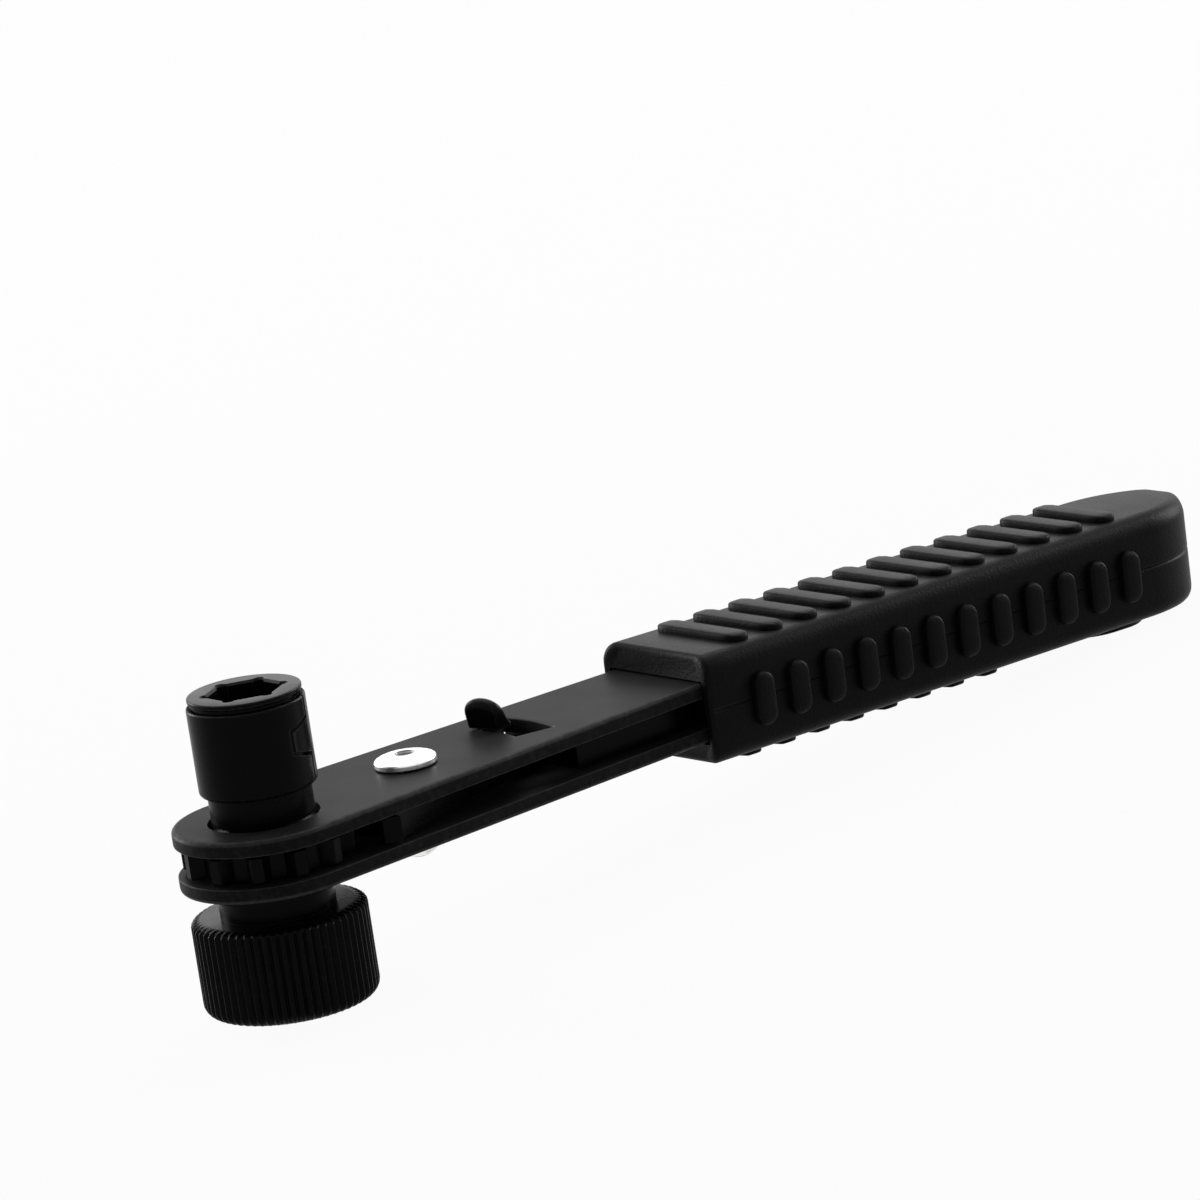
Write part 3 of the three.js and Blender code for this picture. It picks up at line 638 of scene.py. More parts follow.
def repeat_tree(name, inputs, place, turn, scale):
    """A tree that repeats its mesh Count times, each copy placed, turned and scaled by its number."""
    tree, nodes = tree_with(name, {"Count": "Int", **inputs, "Finish": "Material"})
    number = nodes.add("GeometryNodeInputIndex")
    points = nodes.add("GeometryNodePoints", {}, {"Count": given(nodes, "Count"), "Position": place(nodes, number)})
    turned = nodes.add("FunctionNodeEulerToRotation", {}, {"Euler": turn(nodes, number)})
    copies = nodes.add("GeometryNodeInstanceOnPoints", {}, {
        "Points": points, "Instance": given(nodes, "Geometry"), "Rotation": turned, "Scale": scale(nodes, number),
    })
    real = nodes.add("GeometryNodeRealizeInstances", {}, {"Geometry": copies})
    done = nodes.add("GeometryNodeSetMaterial", {}, {"Geometry": real, "Material": given(nodes, "Finish")})
    nodes.add("NodeGroupOutput", {}, {"Geometry": done})
    return tree


def round_axis_tree():
    """Copies round the drive axis, spaced evenly, the first at First Turn."""
    def turn(nodes, number):
        return nodes.add("ShaderNodeCombineXYZ", {}, {
            "Z": given(nodes, "First Turn") + number * given(nodes, "Step"),
        })

    return repeat_tree(
        "round_the_drive_axis", {"First Turn": "Float", "Step": "Float"},
        lambda nodes, number: (0, 0, 0), turn, lambda nodes, number: (1, 1, 1),
    )


def along_handle_tree():
    """Copies in a row along the handle, each shorter than the last by Taper of the first one's length."""
    def place(nodes, number):
        run = nodes.add("ShaderNodeVectorMath", {"operation": "SCALE"}, {
            "Vector": given(nodes, "Step"), "Scale": number,
        })
        return nodes.add("ShaderNodeVectorMath", {"operation": "ADD"}, {0: given(nodes, "First"), 1: run})

    def scale(nodes, number):
        return nodes.add("ShaderNodeCombineXYZ", {}, {
            "X": 1.0, "Y": 1 - number * given(nodes, "Taper"), "Z": 1.0,
        })

    return repeat_tree(
        "along_the_handle", {"First": "Vector", "Step": "Vector", "Tilt": "Vector", "Taper": "Float"},
        place, lambda nodes, number: given(nodes, "Tilt"), scale,
    )


def repeated(name, mesh, make_tree, slot, **values):
    """The plain mesh that a tree makes of one shape."""
    tree = make_tree()
    made = placed(name, mesh)
    modifier = made.modifiers.new("repeat", "NODES")
    modifier.node_group = tree
    sockets = {
        item.name: item.identifier for item in tree.interface.items_tree
        if item.item_type == "SOCKET" and item.in_out == "INPUT"
    }
    for key, value in {**values, "Finish": finish_of(slot)}.items():
        modifier[sockets[key.replace("_", " ").title()]] = value
    plain = plain_mesh(made)
    if not plain.vertices:
        raise RuntimeError(f"{name}: the tree made nothing")
    return plain


# Plates

def plate_loop(sizes, head, end, inset, height):
    """A plate's outline, drawn in by inset, as a loop of points at one height."""
    slope = (head - sizes.tail_width / 2) / end
    corner_x = end - sizes.tail_corner
    half = head - slope * corner_x
    stretches = 12
    sides = [corner_x * k / stretches for k in range(1, stretches)]
    points = arc((0, 0), head - inset, QUARTER, 3 * QUARTER, 48)
    points += [(x, inset - head + slope * x) for x in sides]
    middle = half - sizes.tail_corner
    points += arc((corner_x, -middle), sizes.tail_corner - inset, -QUARTER, 0, 6)
    points += arc((corner_x, middle), sizes.tail_corner - inset, 0, QUARTER, 6)
    points += [(x, head - inset - slope * x) for x in reversed(sides)]
    return [(x, y, height) for x, y in points]


def slot_loop(sizes, pivot, grow, height):
    """The lever's slot, a sector of a ring about the pivot, grown all round."""
    def reach(radius):
        return sizes.slot_reach + math.asin(grow / radius)

    outer, inner = sizes.slot_outer + grow, sizes.slot_inner - grow
    points = arc((pivot, 0), outer, -reach(outer), reach(outer), 20)
    points += arc((pivot, 0), inner, reach(inner), -reach(inner), 20)
    return [(x, y, height) for x, y in points]


def circle_loop(x, radius, height, count=48):
    return [(*polar(radius, TURN * k / count, x), height) for k in range(count)]


def quarter_levels(radius, low, high, outer_up, other):
    """(inset, height) levels up a plate's edge: a large rounding on its outer face and a small one on the other."""
    def rounding(size, level, way):
        steps = [k * QUARTER / 5 for k in range(6)]
        return [(size * (1 - math.cos(t)), level + way * size * math.sin(t)) for t in steps]

    top, bottom = (radius, other) if outer_up else (other, radius)
    upper = rounding(top, high - top, 1)
    lower = rounding(bottom, low + bottom, -1)
    flat = 0.25 * MM
    return [(bottom + flat, low), *reversed(lower), *upper, (top + flat, high)]


def stamped_plate(sizes, node, pivot, rivets, outer_up):
    low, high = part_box(node)
    head, end = high.y, high.x
    levels = quarter_levels(sizes.roll, low.z, high.z, outer_up, sizes.burr)
    families = [[plate_loop(sizes, head, end, inset, height) for inset, height in levels]]
    small = quarter_levels(sizes.hole_edge, low.z, high.z, True, sizes.hole_edge)
    families.append([circle_loop(0, sizes.hub_hole + grow, height, 96) for grow, height in small])
    families.append([circle_loop(pivot, sizes.pivot_hole + grow, height) for grow, height in small])
    face, back = (high.z, low.z) if outer_up else (low.z, high.z)
    sunk = face - math.copysign(sizes.rivet_sink, face - back)
    for x in rivets:
        bore = [(sizes.rivet_hole, back), (sizes.rivet_hole, sunk), (sizes.rivet_hole + sizes.rivet_sink, face)]
        families.append([circle_loop(x, radius, height, 24) for radius, height in sorted(bore, key=lambda b: b[1])])
    if node == "top_plate":
        families.append([slot_loop(sizes, pivot, grow, height) for grow, height in small])
    shell = bmesh.new()
    rims = ([], [])
    for family in families:
        rows = band(shell, family)
        for edges, row in zip(rims, (rows[0], rows[-1])):
            edges += [shell.edges.get((row[k - 1], row[k])) for k in range(len(row))]
    for edges in rims:
        bmesh.ops.triangle_fill(shell, use_beauty=True, edges=edges)
    return close(shell, f"{node}_mesh")


class RATCHET_OT_plates(Operator):
    """Build both stamped plates, with a rolled outer edge, the hub hole, the rivet holes and the lever's slot"""

    bl_idname = "ratchet.plates"
    bl_label = "Stamped plates"

    def execute(self, context):
        sizes = context.scene.ratchet_plates
        pivot = context.scene.ratchet_pivot.pivot
        rivets = [sum(corner.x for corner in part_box(node)) / 2 for node in ("handle_rivet_front", "handle_rivet_rear")]
        upper = stamped_plate(sizes, "top_plate", pivot, rivets, True)
        dress("upper_plate", upper, "handle", "plate_black", "top_plate")
        lower = stamped_plate(sizes, "bottom_plate", pivot, rivets, False)
        dress("lower_plate", lower, "handle", "plate_black", "bottom_plate")
        return {"FINISHED"}


# Socket and sleeve

def hex_radius(flats, relief=0.0):
    """Radius of a hexagon with two flats square to X as a function of the turn, with round reliefs in its corners."""
    corner = flats / math.sqrt(3) - relief / 2

    def radius(turn):
        off_flat = (turn + math.pi / 6) % (math.pi / 3) - math.pi / 6
        off_corner = turn % (math.pi / 3) - math.pi / 6
        reach = flats / 2 / math.cos(off_flat)
        across = corner * math.sin(off_corner)
        if relief > abs(across):
            reach = max(reach, corner * math.cos(off_corner) + math.sqrt(relief ** 2 - across ** 2))
        return reach

    return radius


def grown(radius, by):
    return lambda turn: radius(turn) + by


class RATCHET_OT_socket(Operator):
    """Build the bit socket: hex hole with relieved corners, rim, ring groove, neck and tenon"""

    bl_idname = "ratchet.socket"
    bl_label = "Bit socket"

    def execute(self, context):
        sizes = context.scene.ratchet_socket
        low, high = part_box("bit_socket")
        plate_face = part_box("top_plate")[1].z
        sleeve_low, sleeve_high = (corner.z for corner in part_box("socket_sleeve"))
        rim_low = high.z - sizes.rim_height
        edge = sizes.rim_round
        near = 0.1 * MM
        hole = hex_radius(sizes.hex_flats, sizes.corner_relief)
        tenon = hex_radius(sizes.tenon_flats)
        shoulder = sleeve_low + sizes.sleeve_wall + near
        rim = sizes.rim_radius
        outside = held([
            (sizes.neck_radius, plate_face), (sizes.neck_radius, shoulder), (sizes.body_radius, shoulder + near),
            (sizes.body_radius, sleeve_high), (sizes.groove_radius, sleeve_high), (sizes.groove_radius, rim_low),
            (rim - edge, rim_low), *arc((rim - edge, rim_low + edge), edge, -QUARTER, 0, 4),
            *arc((rim - edge, high.z - edge), edge, 0, QUARTER, 4),
        ], near)
        inside = [
            (grown(hole, sizes.mouth + near), high.z), (grown(hole, sizes.mouth), high.z),
            (hole, high.z - sizes.mouth), (hole, high.z - sizes.mouth - near), (hole, near), (hole, 0),
            (sizes.magnet_pocket, 0), (sizes.magnet_pocket, -sizes.pocket_depth),
        ]
        foot = [(tenon, low.z), (tenon, low.z + near), (tenon, plate_face - near), (tenon, plate_face)]
        rings = [level_ring(radius, height, 216) for radius, height in [*foot, *outside, *inside]]
        dress("hex_socket", close(skin(rings), "hex_socket_mesh"), "drive", "steel_black", "bit_socket")
        return {"FINISHED"}


def seam_side(sizes, low, high, way):
    """One edge of the sheet along the seam, as heights and distances round the sleeve."""
    root, tip, middle = sizes.seam_root / 2, sizes.seam_tip / 2, sizes.seam_middle
    route = [
        Vector((0, low)), Vector((0, middle - root)), Vector((-sizes.seam_tab, middle - tip)),
        Vector((-sizes.seam_tab, middle + tip)), Vector((0, middle + root)), Vector((0, high)),
    ]
    runs = [(b - a).normalized() for a, b in zip(route, route[1:])]
    normals = [Vector((run.y, -run.x)) for run in runs]
    shifted = []
    for k, point in enumerate(route):
        first, second = normals[max(k - 1, 0)], normals[min(k, len(normals) - 1)]
        across = (first + second).normalized()
        shifted.append(point + across * (way * sizes.seam_width / 2 / across.dot(first)))
    return [point.y for point in shifted], [point.x for point in shifted]


class RATCHET_OT_sleeve(Operator):
    """Roll the sleeve from sheet, with its locking tongue, its open seam and a curled lower edge"""

    bl_idname = "ratchet.sleeve"
    bl_label = "Rolled sleeve"

    def execute(self, context):
        sizes = context.scene.ratchet_socket
        low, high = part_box("socket_sleeve")
        radius = high.y
        neck = sizes.neck_radius + 0.1 * MM
        curl, lip = sizes.sleeve_curl, sizes.sleeve_lip
        left = seam_side(sizes, low.z, high.z, -1)
        right = seam_side(sizes, low.z, high.z, 1)
        heights = sorted({*left[0], *right[0], low.z + curl, high.z - lip})
        heights = [z for z in heights if low.z + curl <= z <= high.z - lip]
        row_height = 0.09 * MM
        walls = []
        for start, stop in zip(heights, heights[1:]):
            steps = max(1, round((stop - start) / row_height))
            walls += [start + (stop - start) * k / steps for k in range(steps)]
        profile = [(neck, low.z), *arc((radius - curl, low.z + curl), curl, -QUARTER, 0, 7)[:-1]]
        profile += [(radius, z) for z in walls]
        profile += arc((radius - lip, high.z - lip), lip, 0, QUARTER, 4)[:-1]
        around = TURN * radius
        free = 4 * MM  # the sheet is drawn to the seam within this distance of it
        far = around - free - sizes.seam_tab
        by_seam, round_back = 14, 72  # points across the sheet
        slack, bevel = 0.02 * MM, 0.07 * MM
        shell = bmesh.new()
        rows = []
        for reach, z in profile:
            start = np.interp(z, *right)
            stop = around + np.interp(z, *left)
            places = [*np.linspace(start, free, by_seam), *np.linspace(free, far, round_back)[1:-1]]
            places += [*np.linspace(far, stop, by_seam)]
            rows.append([shell.verts.new((*polar(reach, s / radius + sizes.seam_angle), z)) for s in places])
        for lower, upper in zip(rows, rows[1:]):
            for k in range(len(lower) - 1):
                shell.faces.new((lower[k], lower[k + 1], upper[k + 1], upper[k])).smooth = True
        sheet = bpy.data.meshes.new("sheet")
        shell.to_mesh(sheet)
        shell.free()
        wall = settled("sleeve", sheet, [
            ("SOLIDIFY", {"thickness": sizes.sleeve_wall - slack, "offset": -1}),
            ("BEVEL", {"width": bevel, "segments": 2, "limit_method": "ANGLE", "angle_limit": math.radians(50)}),
        ])
        shell = bmesh.new()
        shell.from_mesh(wall)
        dress("rolled_sleeve", close(shell, "sleeve_mesh"), "drive", "steel_black", "socket_sleeve")
        return {"FINISHED"}


# Wheels

class RATCHET_OT_thumbwheel(Operator):
    """Turn the thumbwheel with its boss and screw recess, and set straight ridges round its rim"""

    bl_idname = "ratchet.thumbwheel"
    bl_label = "Knurled thumbwheel"

    def execute(self, context):
        sizes = context.scene.ratchet_wheels
        low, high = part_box("thumbwheel")
        knurl_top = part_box("top_plate")[1].z - sizes.knurl_top
        full, depth, bend = high.x, sizes.ridge_depth, sizes.edge_round
        crown = sizes.crown

        def rim(cut):
            """The wheel's outside, drawn in by cut where it is upright and less towards its faces."""
            steps = [k * QUARTER / 7 for k in range(8)]
            lower = [
                (full - bend + (bend - cut) * math.sin(t), low.z + bend * (1 - math.cos(t))) for t in steps
            ]
            upper = [(full - bend + (bend - cut) * math.cos(t), knurl_top + crown * math.sin(t)) for t in steps]
            return lower + upper

        floor = low.z + sizes.recess_depth
        edge = 0.15 * MM
        body = lathe([
            (sizes.screw_hole, floor), (sizes.recess_radius, floor), (sizes.recess_radius, low.z + edge),
            (sizes.recess_radius + edge, low.z), *rim(depth),
            (sizes.boss_radius, knurl_top + crown), (sizes.boss_radius, high.z - edge),
            (sizes.boss_radius - edge, high.z), (sizes.screw_hole, high.z),
        ], 120)
        half = TURN * full / sizes.ridges / 2
        crest, root = rim(0), rim(depth)
        rooted, least, crest_share = 0.05 * MM, 0.25, 0.16
        rings = []
        for (outer, z), (inner, _) in zip(crest, root):
            spread = half * (least + (1 - least) * (outer - inner) / depth) * inner / full
            sunk, flat = inner - rooted, crest_share * spread
            rings.append([(sunk, -spread, z), (outer, -flat, z), (outer, flat, z), (sunk, spread, z)])
        ridge = close(skin(rings), "ridge", 60, 0.35)
        ridges = repeated(
            "ridges", ridge, round_axis_tree, "steel_black",
            count=sizes.ridges, first_turn=0.0, step=TURN / sizes.ridges,
        )
        wheel = together("thumbwheel_mesh", close(body, "wheel_body"), ridges)
        dress("knurled_wheel", wheel, "drive", "steel_black", "thumbwheel")
        return {"FINISHED"}


class RATCHET_OT_gear(Operator):
    """Build the toothed wheel between the plates: a turned hub with teeth set round it"""

    bl_idname = "ratchet.gear"
    bl_label = "Toothed wheel"

    def execute(self, context):
        sizes = context.scene.ratchet_wheels
        low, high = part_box("ratchet_gear")
        middle = (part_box("top_plate")[0].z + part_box("bottom_plate")[1].z) / 2
        face_low, face_high = middle - sizes.tooth_face / 2, middle + sizes.tooth_face / 2
        tip, bore = sizes.tooth_tip, sizes.gear_bore
        hub = lathe([
            (bore, low.z), (sizes.journal, low.z), (sizes.journal, face_low), (sizes.tooth_root, face_low),
            (sizes.tooth_root, face_high), (sizes.journal, face_high), (sizes.journal, high.z - sizes.journal_step),
            (bore, high.z - sizes.journal_step),
        ])
        edge = sizes.tooth_edge
        rooted = 0.4 * MM
        sunk = sizes.tooth_root - rooted
        rings = []
        for inset, z in ((edge, face_low), (0, face_low + edge), (0, face_high - edge), (edge, face_high)):
            crest, foot = sizes.tooth_crest / 2 - inset, sizes.tooth_foot / 2 - inset / 2
            rings.append([
                (sunk, -foot, z), (sizes.tooth_root, -foot, z), (tip - inset - edge, -crest, z),
                (tip - inset, edge - crest, z), (tip - inset, crest - edge, z), (tip - inset - edge, crest, z),
                (sizes.tooth_root, foot, z), (sunk, foot, z),
            ])
        tooth = close(skin(rings), "tooth", 20, 0.3)
        step = TURN / sizes.teeth
        teeth = repeated(
            "teeth", tooth, round_axis_tree, "steel_black", count=sizes.teeth, first_turn=step / 2, step=step,
        )
        gear = together("gear_mesh", close(hub, "gear_hub", wear_and_highlight=0.0), teeth)
        dress("toothed_wheel", gear, "drive", "steel_black", "ratchet_gear")
        return {"FINISHED"}


# Rivet, lever and detent

class RATCHET_OT_rivet(Operator):
    """Turn the pivot rivet, with a domed and dimpled head above and a domed foot below"""

    bl_idname = "ratchet.rivet"
    bl_label = "Pivot rivet"

    def execute(self, context):
        sizes = context.scene.ratchet_pivot
        low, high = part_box("pivot_rivet")
        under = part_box("top_plate")[1].z + sizes.head_gap
        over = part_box("bottom_plate")[0].z - sizes.head_gap
        crown = high.z - under - sizes.head_edge
        steps = [k * QUARTER / 10 for k in range(11)]
        foot = [(sizes.foot_radius * math.sin(t), over + (low.z - over) * math.cos(t)) for t in steps]
        edge = 0.08 * MM
        dome = []
        for t in steps:
            radius = sizes.head_radius * math.cos(t)
            if radius > sizes.dimple_radius:
                dome.append((radius, under + sizes.head_edge + crown * math.sin(t)))
        lip = under + sizes.head_edge + crown * math.sqrt(1 - (sizes.dimple_radius / sizes.head_radius) ** 2)
        dimple = [(sizes.dimple_radius * math.cos(t), lip - sizes.dimple_depth * math.sin(t)) for t in steps]
        shell = lathe([
            *foot, (sizes.shank_radius, over), (sizes.shank_radius, under), (sizes.head_radius - edge, under),
            (sizes.head_radius, under + edge), *dome, *dimple,
        ], 80, 0.06 * MM)
        bmesh.ops.translate(shell, verts=shell.verts, vec=(sizes.pivot, 0, 0))
        dress("bright_rivet", close(shell, "rivet_mesh", 50), "handle", "rivet_steel", "pivot_rivet")
        return {"FINISHED"}


class RATCHET_OT_lever(Operator):
    """Build the reversing lever: a domed thumb tab on a square stem, thrown to its stop"""

    bl_idname = "ratchet.lever"
    bl_label = "Reversing lever"

    def execute(self, context):
        sizes = context.scene.ratchet_pivot
        low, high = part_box("reversing_lever")
        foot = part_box("top_plate")[1].z + sizes.tab_lift
        near, far, top = sizes.tab_near, sizes.tab_far, high.z
        lean, peak, ramp = 0.3 * MM, near + 0.65 * MM, foot + sizes.tab_foot
        brow = (near, top - 0.9 * MM)  # where the steep side turns over
        knee = (peak + 0.8 * MM, top - 0.8 * MM)  # where the crest falls to the ramp
        curves = [
            ((near + lean, foot), (near + 0.4 * lean, (foot + top) / 2 - 0.4 * MM), brow),
            (brow, (near - 0.02 * MM, top), (peak, top)),
            ((peak, top), (peak + 0.5 * MM, top - 0.05 * MM), knee),
            (knee, (peak + 1.2 * MM, ramp + 0.4 * MM), (far, ramp)),
            ((far, ramp), (far + 0.02 * MM, foot + 0.1 * MM), (far - 0.1 * MM, foot)),
        ]
        profile = []
        steps = 8
        for a, b, c in curves:
            for k in range(steps):
                t = k / steps
                profile.append(tuple(
                    (1 - t) ** 2 * p + 2 * t * (1 - t) * q + t * t * r for p, q, r in zip(a, b, c)))
        middle_x = (near + far) / 2
        rings = []
        half = sizes.tab_width / 2
        ends = 0.35 * MM
        for k in range(25):
            turn = -QUARTER + math.pi * k / 24
            y = half * math.sin(turn)
            past = max(0, abs(y) - (half - ends)) / ends
            inset = ends * (1 - math.sqrt(max(0, 1 - past ** 2)))
            drop = sizes.tab_dome * (1 - math.sqrt(max(0, 1 - (y / half) ** 2 * 0.97)))
            ring = []
            for x, z in profile:
                up = (z - foot) / (top - foot)
                level = foot + up * (top - foot - drop)
                ring.append((x + (middle_x - x) * inset / (far - near) * 2, y, level - up * inset * 0.5))
            rings.append(ring)
        tab = close(skin(rings), "tab", 60)
        stem_low, stem_high, bevel = low.z, ramp, 0.12 * MM
        x0, x1, w = sizes.stem_near, sizes.stem_far, sizes.stem_width / 2
        loops = []
        for inset, z in ((bevel, stem_low), (0, stem_low + bevel), (0, stem_high)):
            loops.append([
                (x0 + inset, -w + inset, z), (x1 - inset, -w + inset, z), (x1 - inset, w - inset, z),
                (x0 + inset, w - inset, z),
            ])
        stem = close(skin(loops), "stem", 20)
        lever = together("lever_mesh", tab, stem)
        lever.transform(Matrix.Translation((sizes.pivot, 0, 0)) @ Matrix.Rotation(sizes.throw, 4, "Z"))
        dress("thumb_lever", lever, "selector", "steel_black", "reversing_lever")
        return {"FINISHED"}


class RATCHET_OT_coil(Operator):
    """Wind the detent's coil spring from round wire"""

    bl_idname = "ratchet.coil"
    bl_label = "Detent spring"

    def execute(self, context):
        sizes = context.scene.ratchet_pivot
        low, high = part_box("detent_spring")
        wire = sizes.wire_radius
        height = (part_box("detent_ball")[0].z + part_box("detent_ball")[1].z) / 2
        start, run = low.x + wire, high.x - low.x - 2 * wire
        steps = 28 * sizes.coil_turns
        rings = []
        for k in range(steps + 1):
            turn = TURN * sizes.coil_turns * k / steps
            middle = Vector((start + run * k / steps, *polar(sizes.coil_radius, turn)))
            out = Vector((0, math.cos(turn), math.sin(turn)))
            along = Vector((run / (TURN * sizes.coil_turns), *(sizes.coil_radius * c for c in (-out.z, out.y))))
            side = along.normalized().cross(out)
            ring = []
            for j in range(10):
                around = TURN * j / 10
                ring.append(middle + wire * (math.cos(around) * out + math.sin(around) * side))
            rings.append([(p.x, p.y, p.z + height) for p in ring])
        dress("coil_spring", close(skin(rings), "coil_mesh", 60), "handle", "spring_steel", "detent_spring")
        return {"FINISHED"}


# Grip

def grip_half(sizes, x):
    last = sizes.rib_first + (sizes.ribs - 1) * sizes.rib_pitch
    return sizes.half_front - (sizes.half_front - sizes.half_back) * (x - sizes.front) / (last - sizes.front)


def raked(sizes, point):
    """A point of the grip after it is raked about the middle of its front."""
    middle = sizes.top - sizes.height / 2
    x, z = point[0] - sizes.front, point[2] - middle
    c, s = math.cos(sizes.rake), math.sin(sizes.rake)
    return (sizes.front + x * c + z * s, point[1], middle - x * s + z * c)


def grip_section(half, low, high, low_round, high_round, groove, groove_width):
    """A closed section across the grip, with a groove at mid height on both sides."""
    below, above = min(low_round, half), min(high_round, half)
    middle = (low + high) / 2
    right = arc((half - below, low + below), below, -QUARTER, 0, 6)
    right += [
        (half, middle - groove_width), (half, middle - groove_width / 2), (half - groove, middle),
        (half, middle + groove_width / 2), (half, middle + groove_width),
    ]
    right += arc((half - above, high - above), above, 0, QUARTER, 8)
    left = [(-y, z) for y, z in reversed(right)]
    return right + left


def grip_body(sizes):
    low, high = sizes.top - sizes.height, sizes.top
    bend = sizes.end - sizes.round_end
    hollow_fade = 6 * MM  # the front's hollow is gone this far along
    stations = []  # distance along, share of the width, inset all round
    for k in range(6):
        t = k * QUARTER / 5
        stations.append((sizes.front + sizes.front_round * (1 - math.sin(t)), 1, sizes.front_round * (1 - math.cos(t))))
    for k in range(1, 25):
        stations.append((sizes.front + sizes.front_round + (bend - sizes.front - sizes.front_round) * k / 24, 1, 0))
    for k in range(1, 19):
        t = k * QUARTER / 18
        stations.append((bend + sizes.round_end * math.sin(t), math.cos(t), 0))
    stations.sort(key=lambda station: station[0])
    rings = []
    for x, width, inset in stations:
        half = max(grip_half(sizes, min(x, bend)) * width - inset, 2 * FINE)
        past = max(0, x - (sizes.end - sizes.end_round)) / sizes.end_round
        pull = sizes.end_round * (1 - math.sqrt(max(0, 1 - past ** 2))) + inset
        groove = min(sizes.parting_depth, 0.2 * half) if inset == 0 else 0
        section = grip_section(
            half, low + pull, high - pull, sizes.low_round, sizes.top_round, groove, sizes.parting_width,
        )
        fade = max(0, 1 - (x - sizes.front) / hollow_fade)
        ring = []
        for y, z in section:
            bow = sizes.hollow * fade * (1 - min(1, (y / sizes.half_front) ** 2))
            ring.append(raked(sizes, (x + bow, y, z)))
        rings.append(ring)
    plate_low, plate_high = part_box("bottom_plate")[0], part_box("top_plate")[1]
    gap = sizes.core_gap
    head, tail = plate_high.y, bpy.context.scene.ratchet_plates.tail_width / 2
    for x in (sizes.front, plate_high.x + gap):
        half = head - (head - tail) * x / plate_high.x + gap
        section = grip_section(half, plate_low.z - gap, plate_high.z + gap, gap, gap, 0, sizes.parting_width)
        hollow = sizes.hollow if x == sizes.front else 0
        ring = [(x + hollow * (1 - (y / sizes.half_front) ** 2), y, z) for y, z in section]
        rings.insert(0, ring)
    return close(skin(rings), "grip_body", 42)


def rubber_bar(long, wide, rise, root):
    """A rounded bar along Y that stands up along Z from a flat root."""
    rings = []
    for k in range(21):
        turn = -QUARTER + math.pi * k / 20
        reach = long / 2 - wide / 2
        y = reach * max(-1, min(1, 1.35 * math.sin(turn))) + wide / 2 * math.sin(turn)
        past = max(0, abs(y) - reach) / (wide / 2)
        shrink = max(0.04, math.sqrt(max(0, 1 - past ** 2)))
        ring = [(wide / 2 * shrink, y, -root)]
        for j in range(13):
            t = math.pi * j / 12
            x = math.copysign(abs(math.cos(t)) ** SQUARENESS, math.cos(t)) * wide / 2 * shrink
            ring.append((x, y, rise * math.sin(t) ** SQUARENESS * shrink ** 0.5))
        ring.append((-wide / 2 * shrink, y, -root))
        rings.append(ring)
    return skin(rings)


class RATCHET_OT_grip(Operator):
    """Mould the grip: a rounded rubber body with a hollow front, a parting line and a heel"""

    bl_idname = "ratchet.grip"
    bl_label = "Rubber grip"

    def execute(self, context):
        sizes = context.scene.ratchet_grip
        middle = sizes.heel_front + sizes.heel_length / 2
        wide = 2 * (grip_half(sizes, middle) - sizes.heel_inset)
        pad = rubber_bar(wide, sizes.heel_length, sizes.heel_rise, sizes.rib_root)
        heel = close(pad, "heel", 60)
        heel.transform(
            Matrix.Translation(raked(sizes, (middle, 0, sizes.top - sizes.height)))
            @ Matrix.Rotation(sizes.rake, 4, "Y") @ Matrix.Rotation(math.pi, 4, "X")
        )
        grip = together("grip_mesh", grip_body(sizes), heel)
        dress("rubber_grip", grip, "handle", "rubber_black", "grip")
        return {"FINISHED"}


class RATCHET_OT_ribs(Operator):
    """Set the rows of rubber bars on the grip's top, underside and sides"""

    bl_idname = "ratchet.ribs"
    bl_label = "Grip ribs"

    def execute(self, context):
        sizes = context.scene.ratchet_grip
        first, pitch, rake = sizes.rib_first, sizes.rib_pitch, sizes.rake
        narrow = grip_half(sizes, first) - grip_half(sizes, first + pitch)
        half = grip_half(sizes, first)
        across = 2 * (half - sizes.rib_inset)
        bottom = sizes.top - sizes.height
        side_middle = sizes.side_top - sizes.side_length / 2
        rows = {
            "grip_bars_top": (across, sizes.ribs, (0, sizes.top), 0, 0),
            "grip_bars_under": (across, sizes.under_ribs, (0, bottom), 0, math.pi),
            "grip_bars_left": (sizes.side_length, sizes.ribs, (half, side_middle), -narrow, -QUARTER),
            "grip_bars_right": (sizes.side_length, sizes.ribs, (-half, side_middle), narrow, QUARTER),
        }
        for name, (long, count, (y, z), drift, lean) in rows.items():
            rise = sizes.side_rise if drift else sizes.rib_rise
            bar = close(rubber_bar(long, sizes.rib_width, rise, sizes.rib_root), "bar", 60, 0.5)
            start = Vector(raked(sizes, (first, y, z)))
            step = Vector(raked(sizes, (first + pitch, y + drift, z))) - start
            tilt = (lean, rake, 0)
            taper = 0.0 if drift else 2 * narrow / long
            mesh = repeated(
                name, bar, along_handle_tree, "rubber_black",
                count=count, first=start, step=step, tilt=tilt, taper=taper,
            )
            dress(name, mesh, "handle", "rubber_black")
        return {"FINISHED"}


class RATCHET_OT_inner_parts(Operator):
    """Give the parts that are carried over as they are their finishes"""

    bl_idname = "ratchet.inner_parts"
    bl_label = "Inner parts"

    def execute(self, context):
        for part in frame["record"]["subparts"]:
            node = frame["nodes"][part["node"]]
            if not node.hide_render:
                node.data.materials.clear()
                node.data.materials.append(finish_of(part["material_slot"]))
        return {"FINISHED"}


# Stage

def soft_light(name, power, size, place, aim):
    lamp = bpy.data.lights.new(name, "AREA")
    lamp.shape = "RECTANGLE"
    lamp.energy = power
    lamp.size, lamp.size_y = size
    holder = placed(name, lamp)
    holder.location = place
    holder.visible_camera = False
    holder.rotation_euler = (aim - place).to_track_quat("-Z", "Y").to_euler()


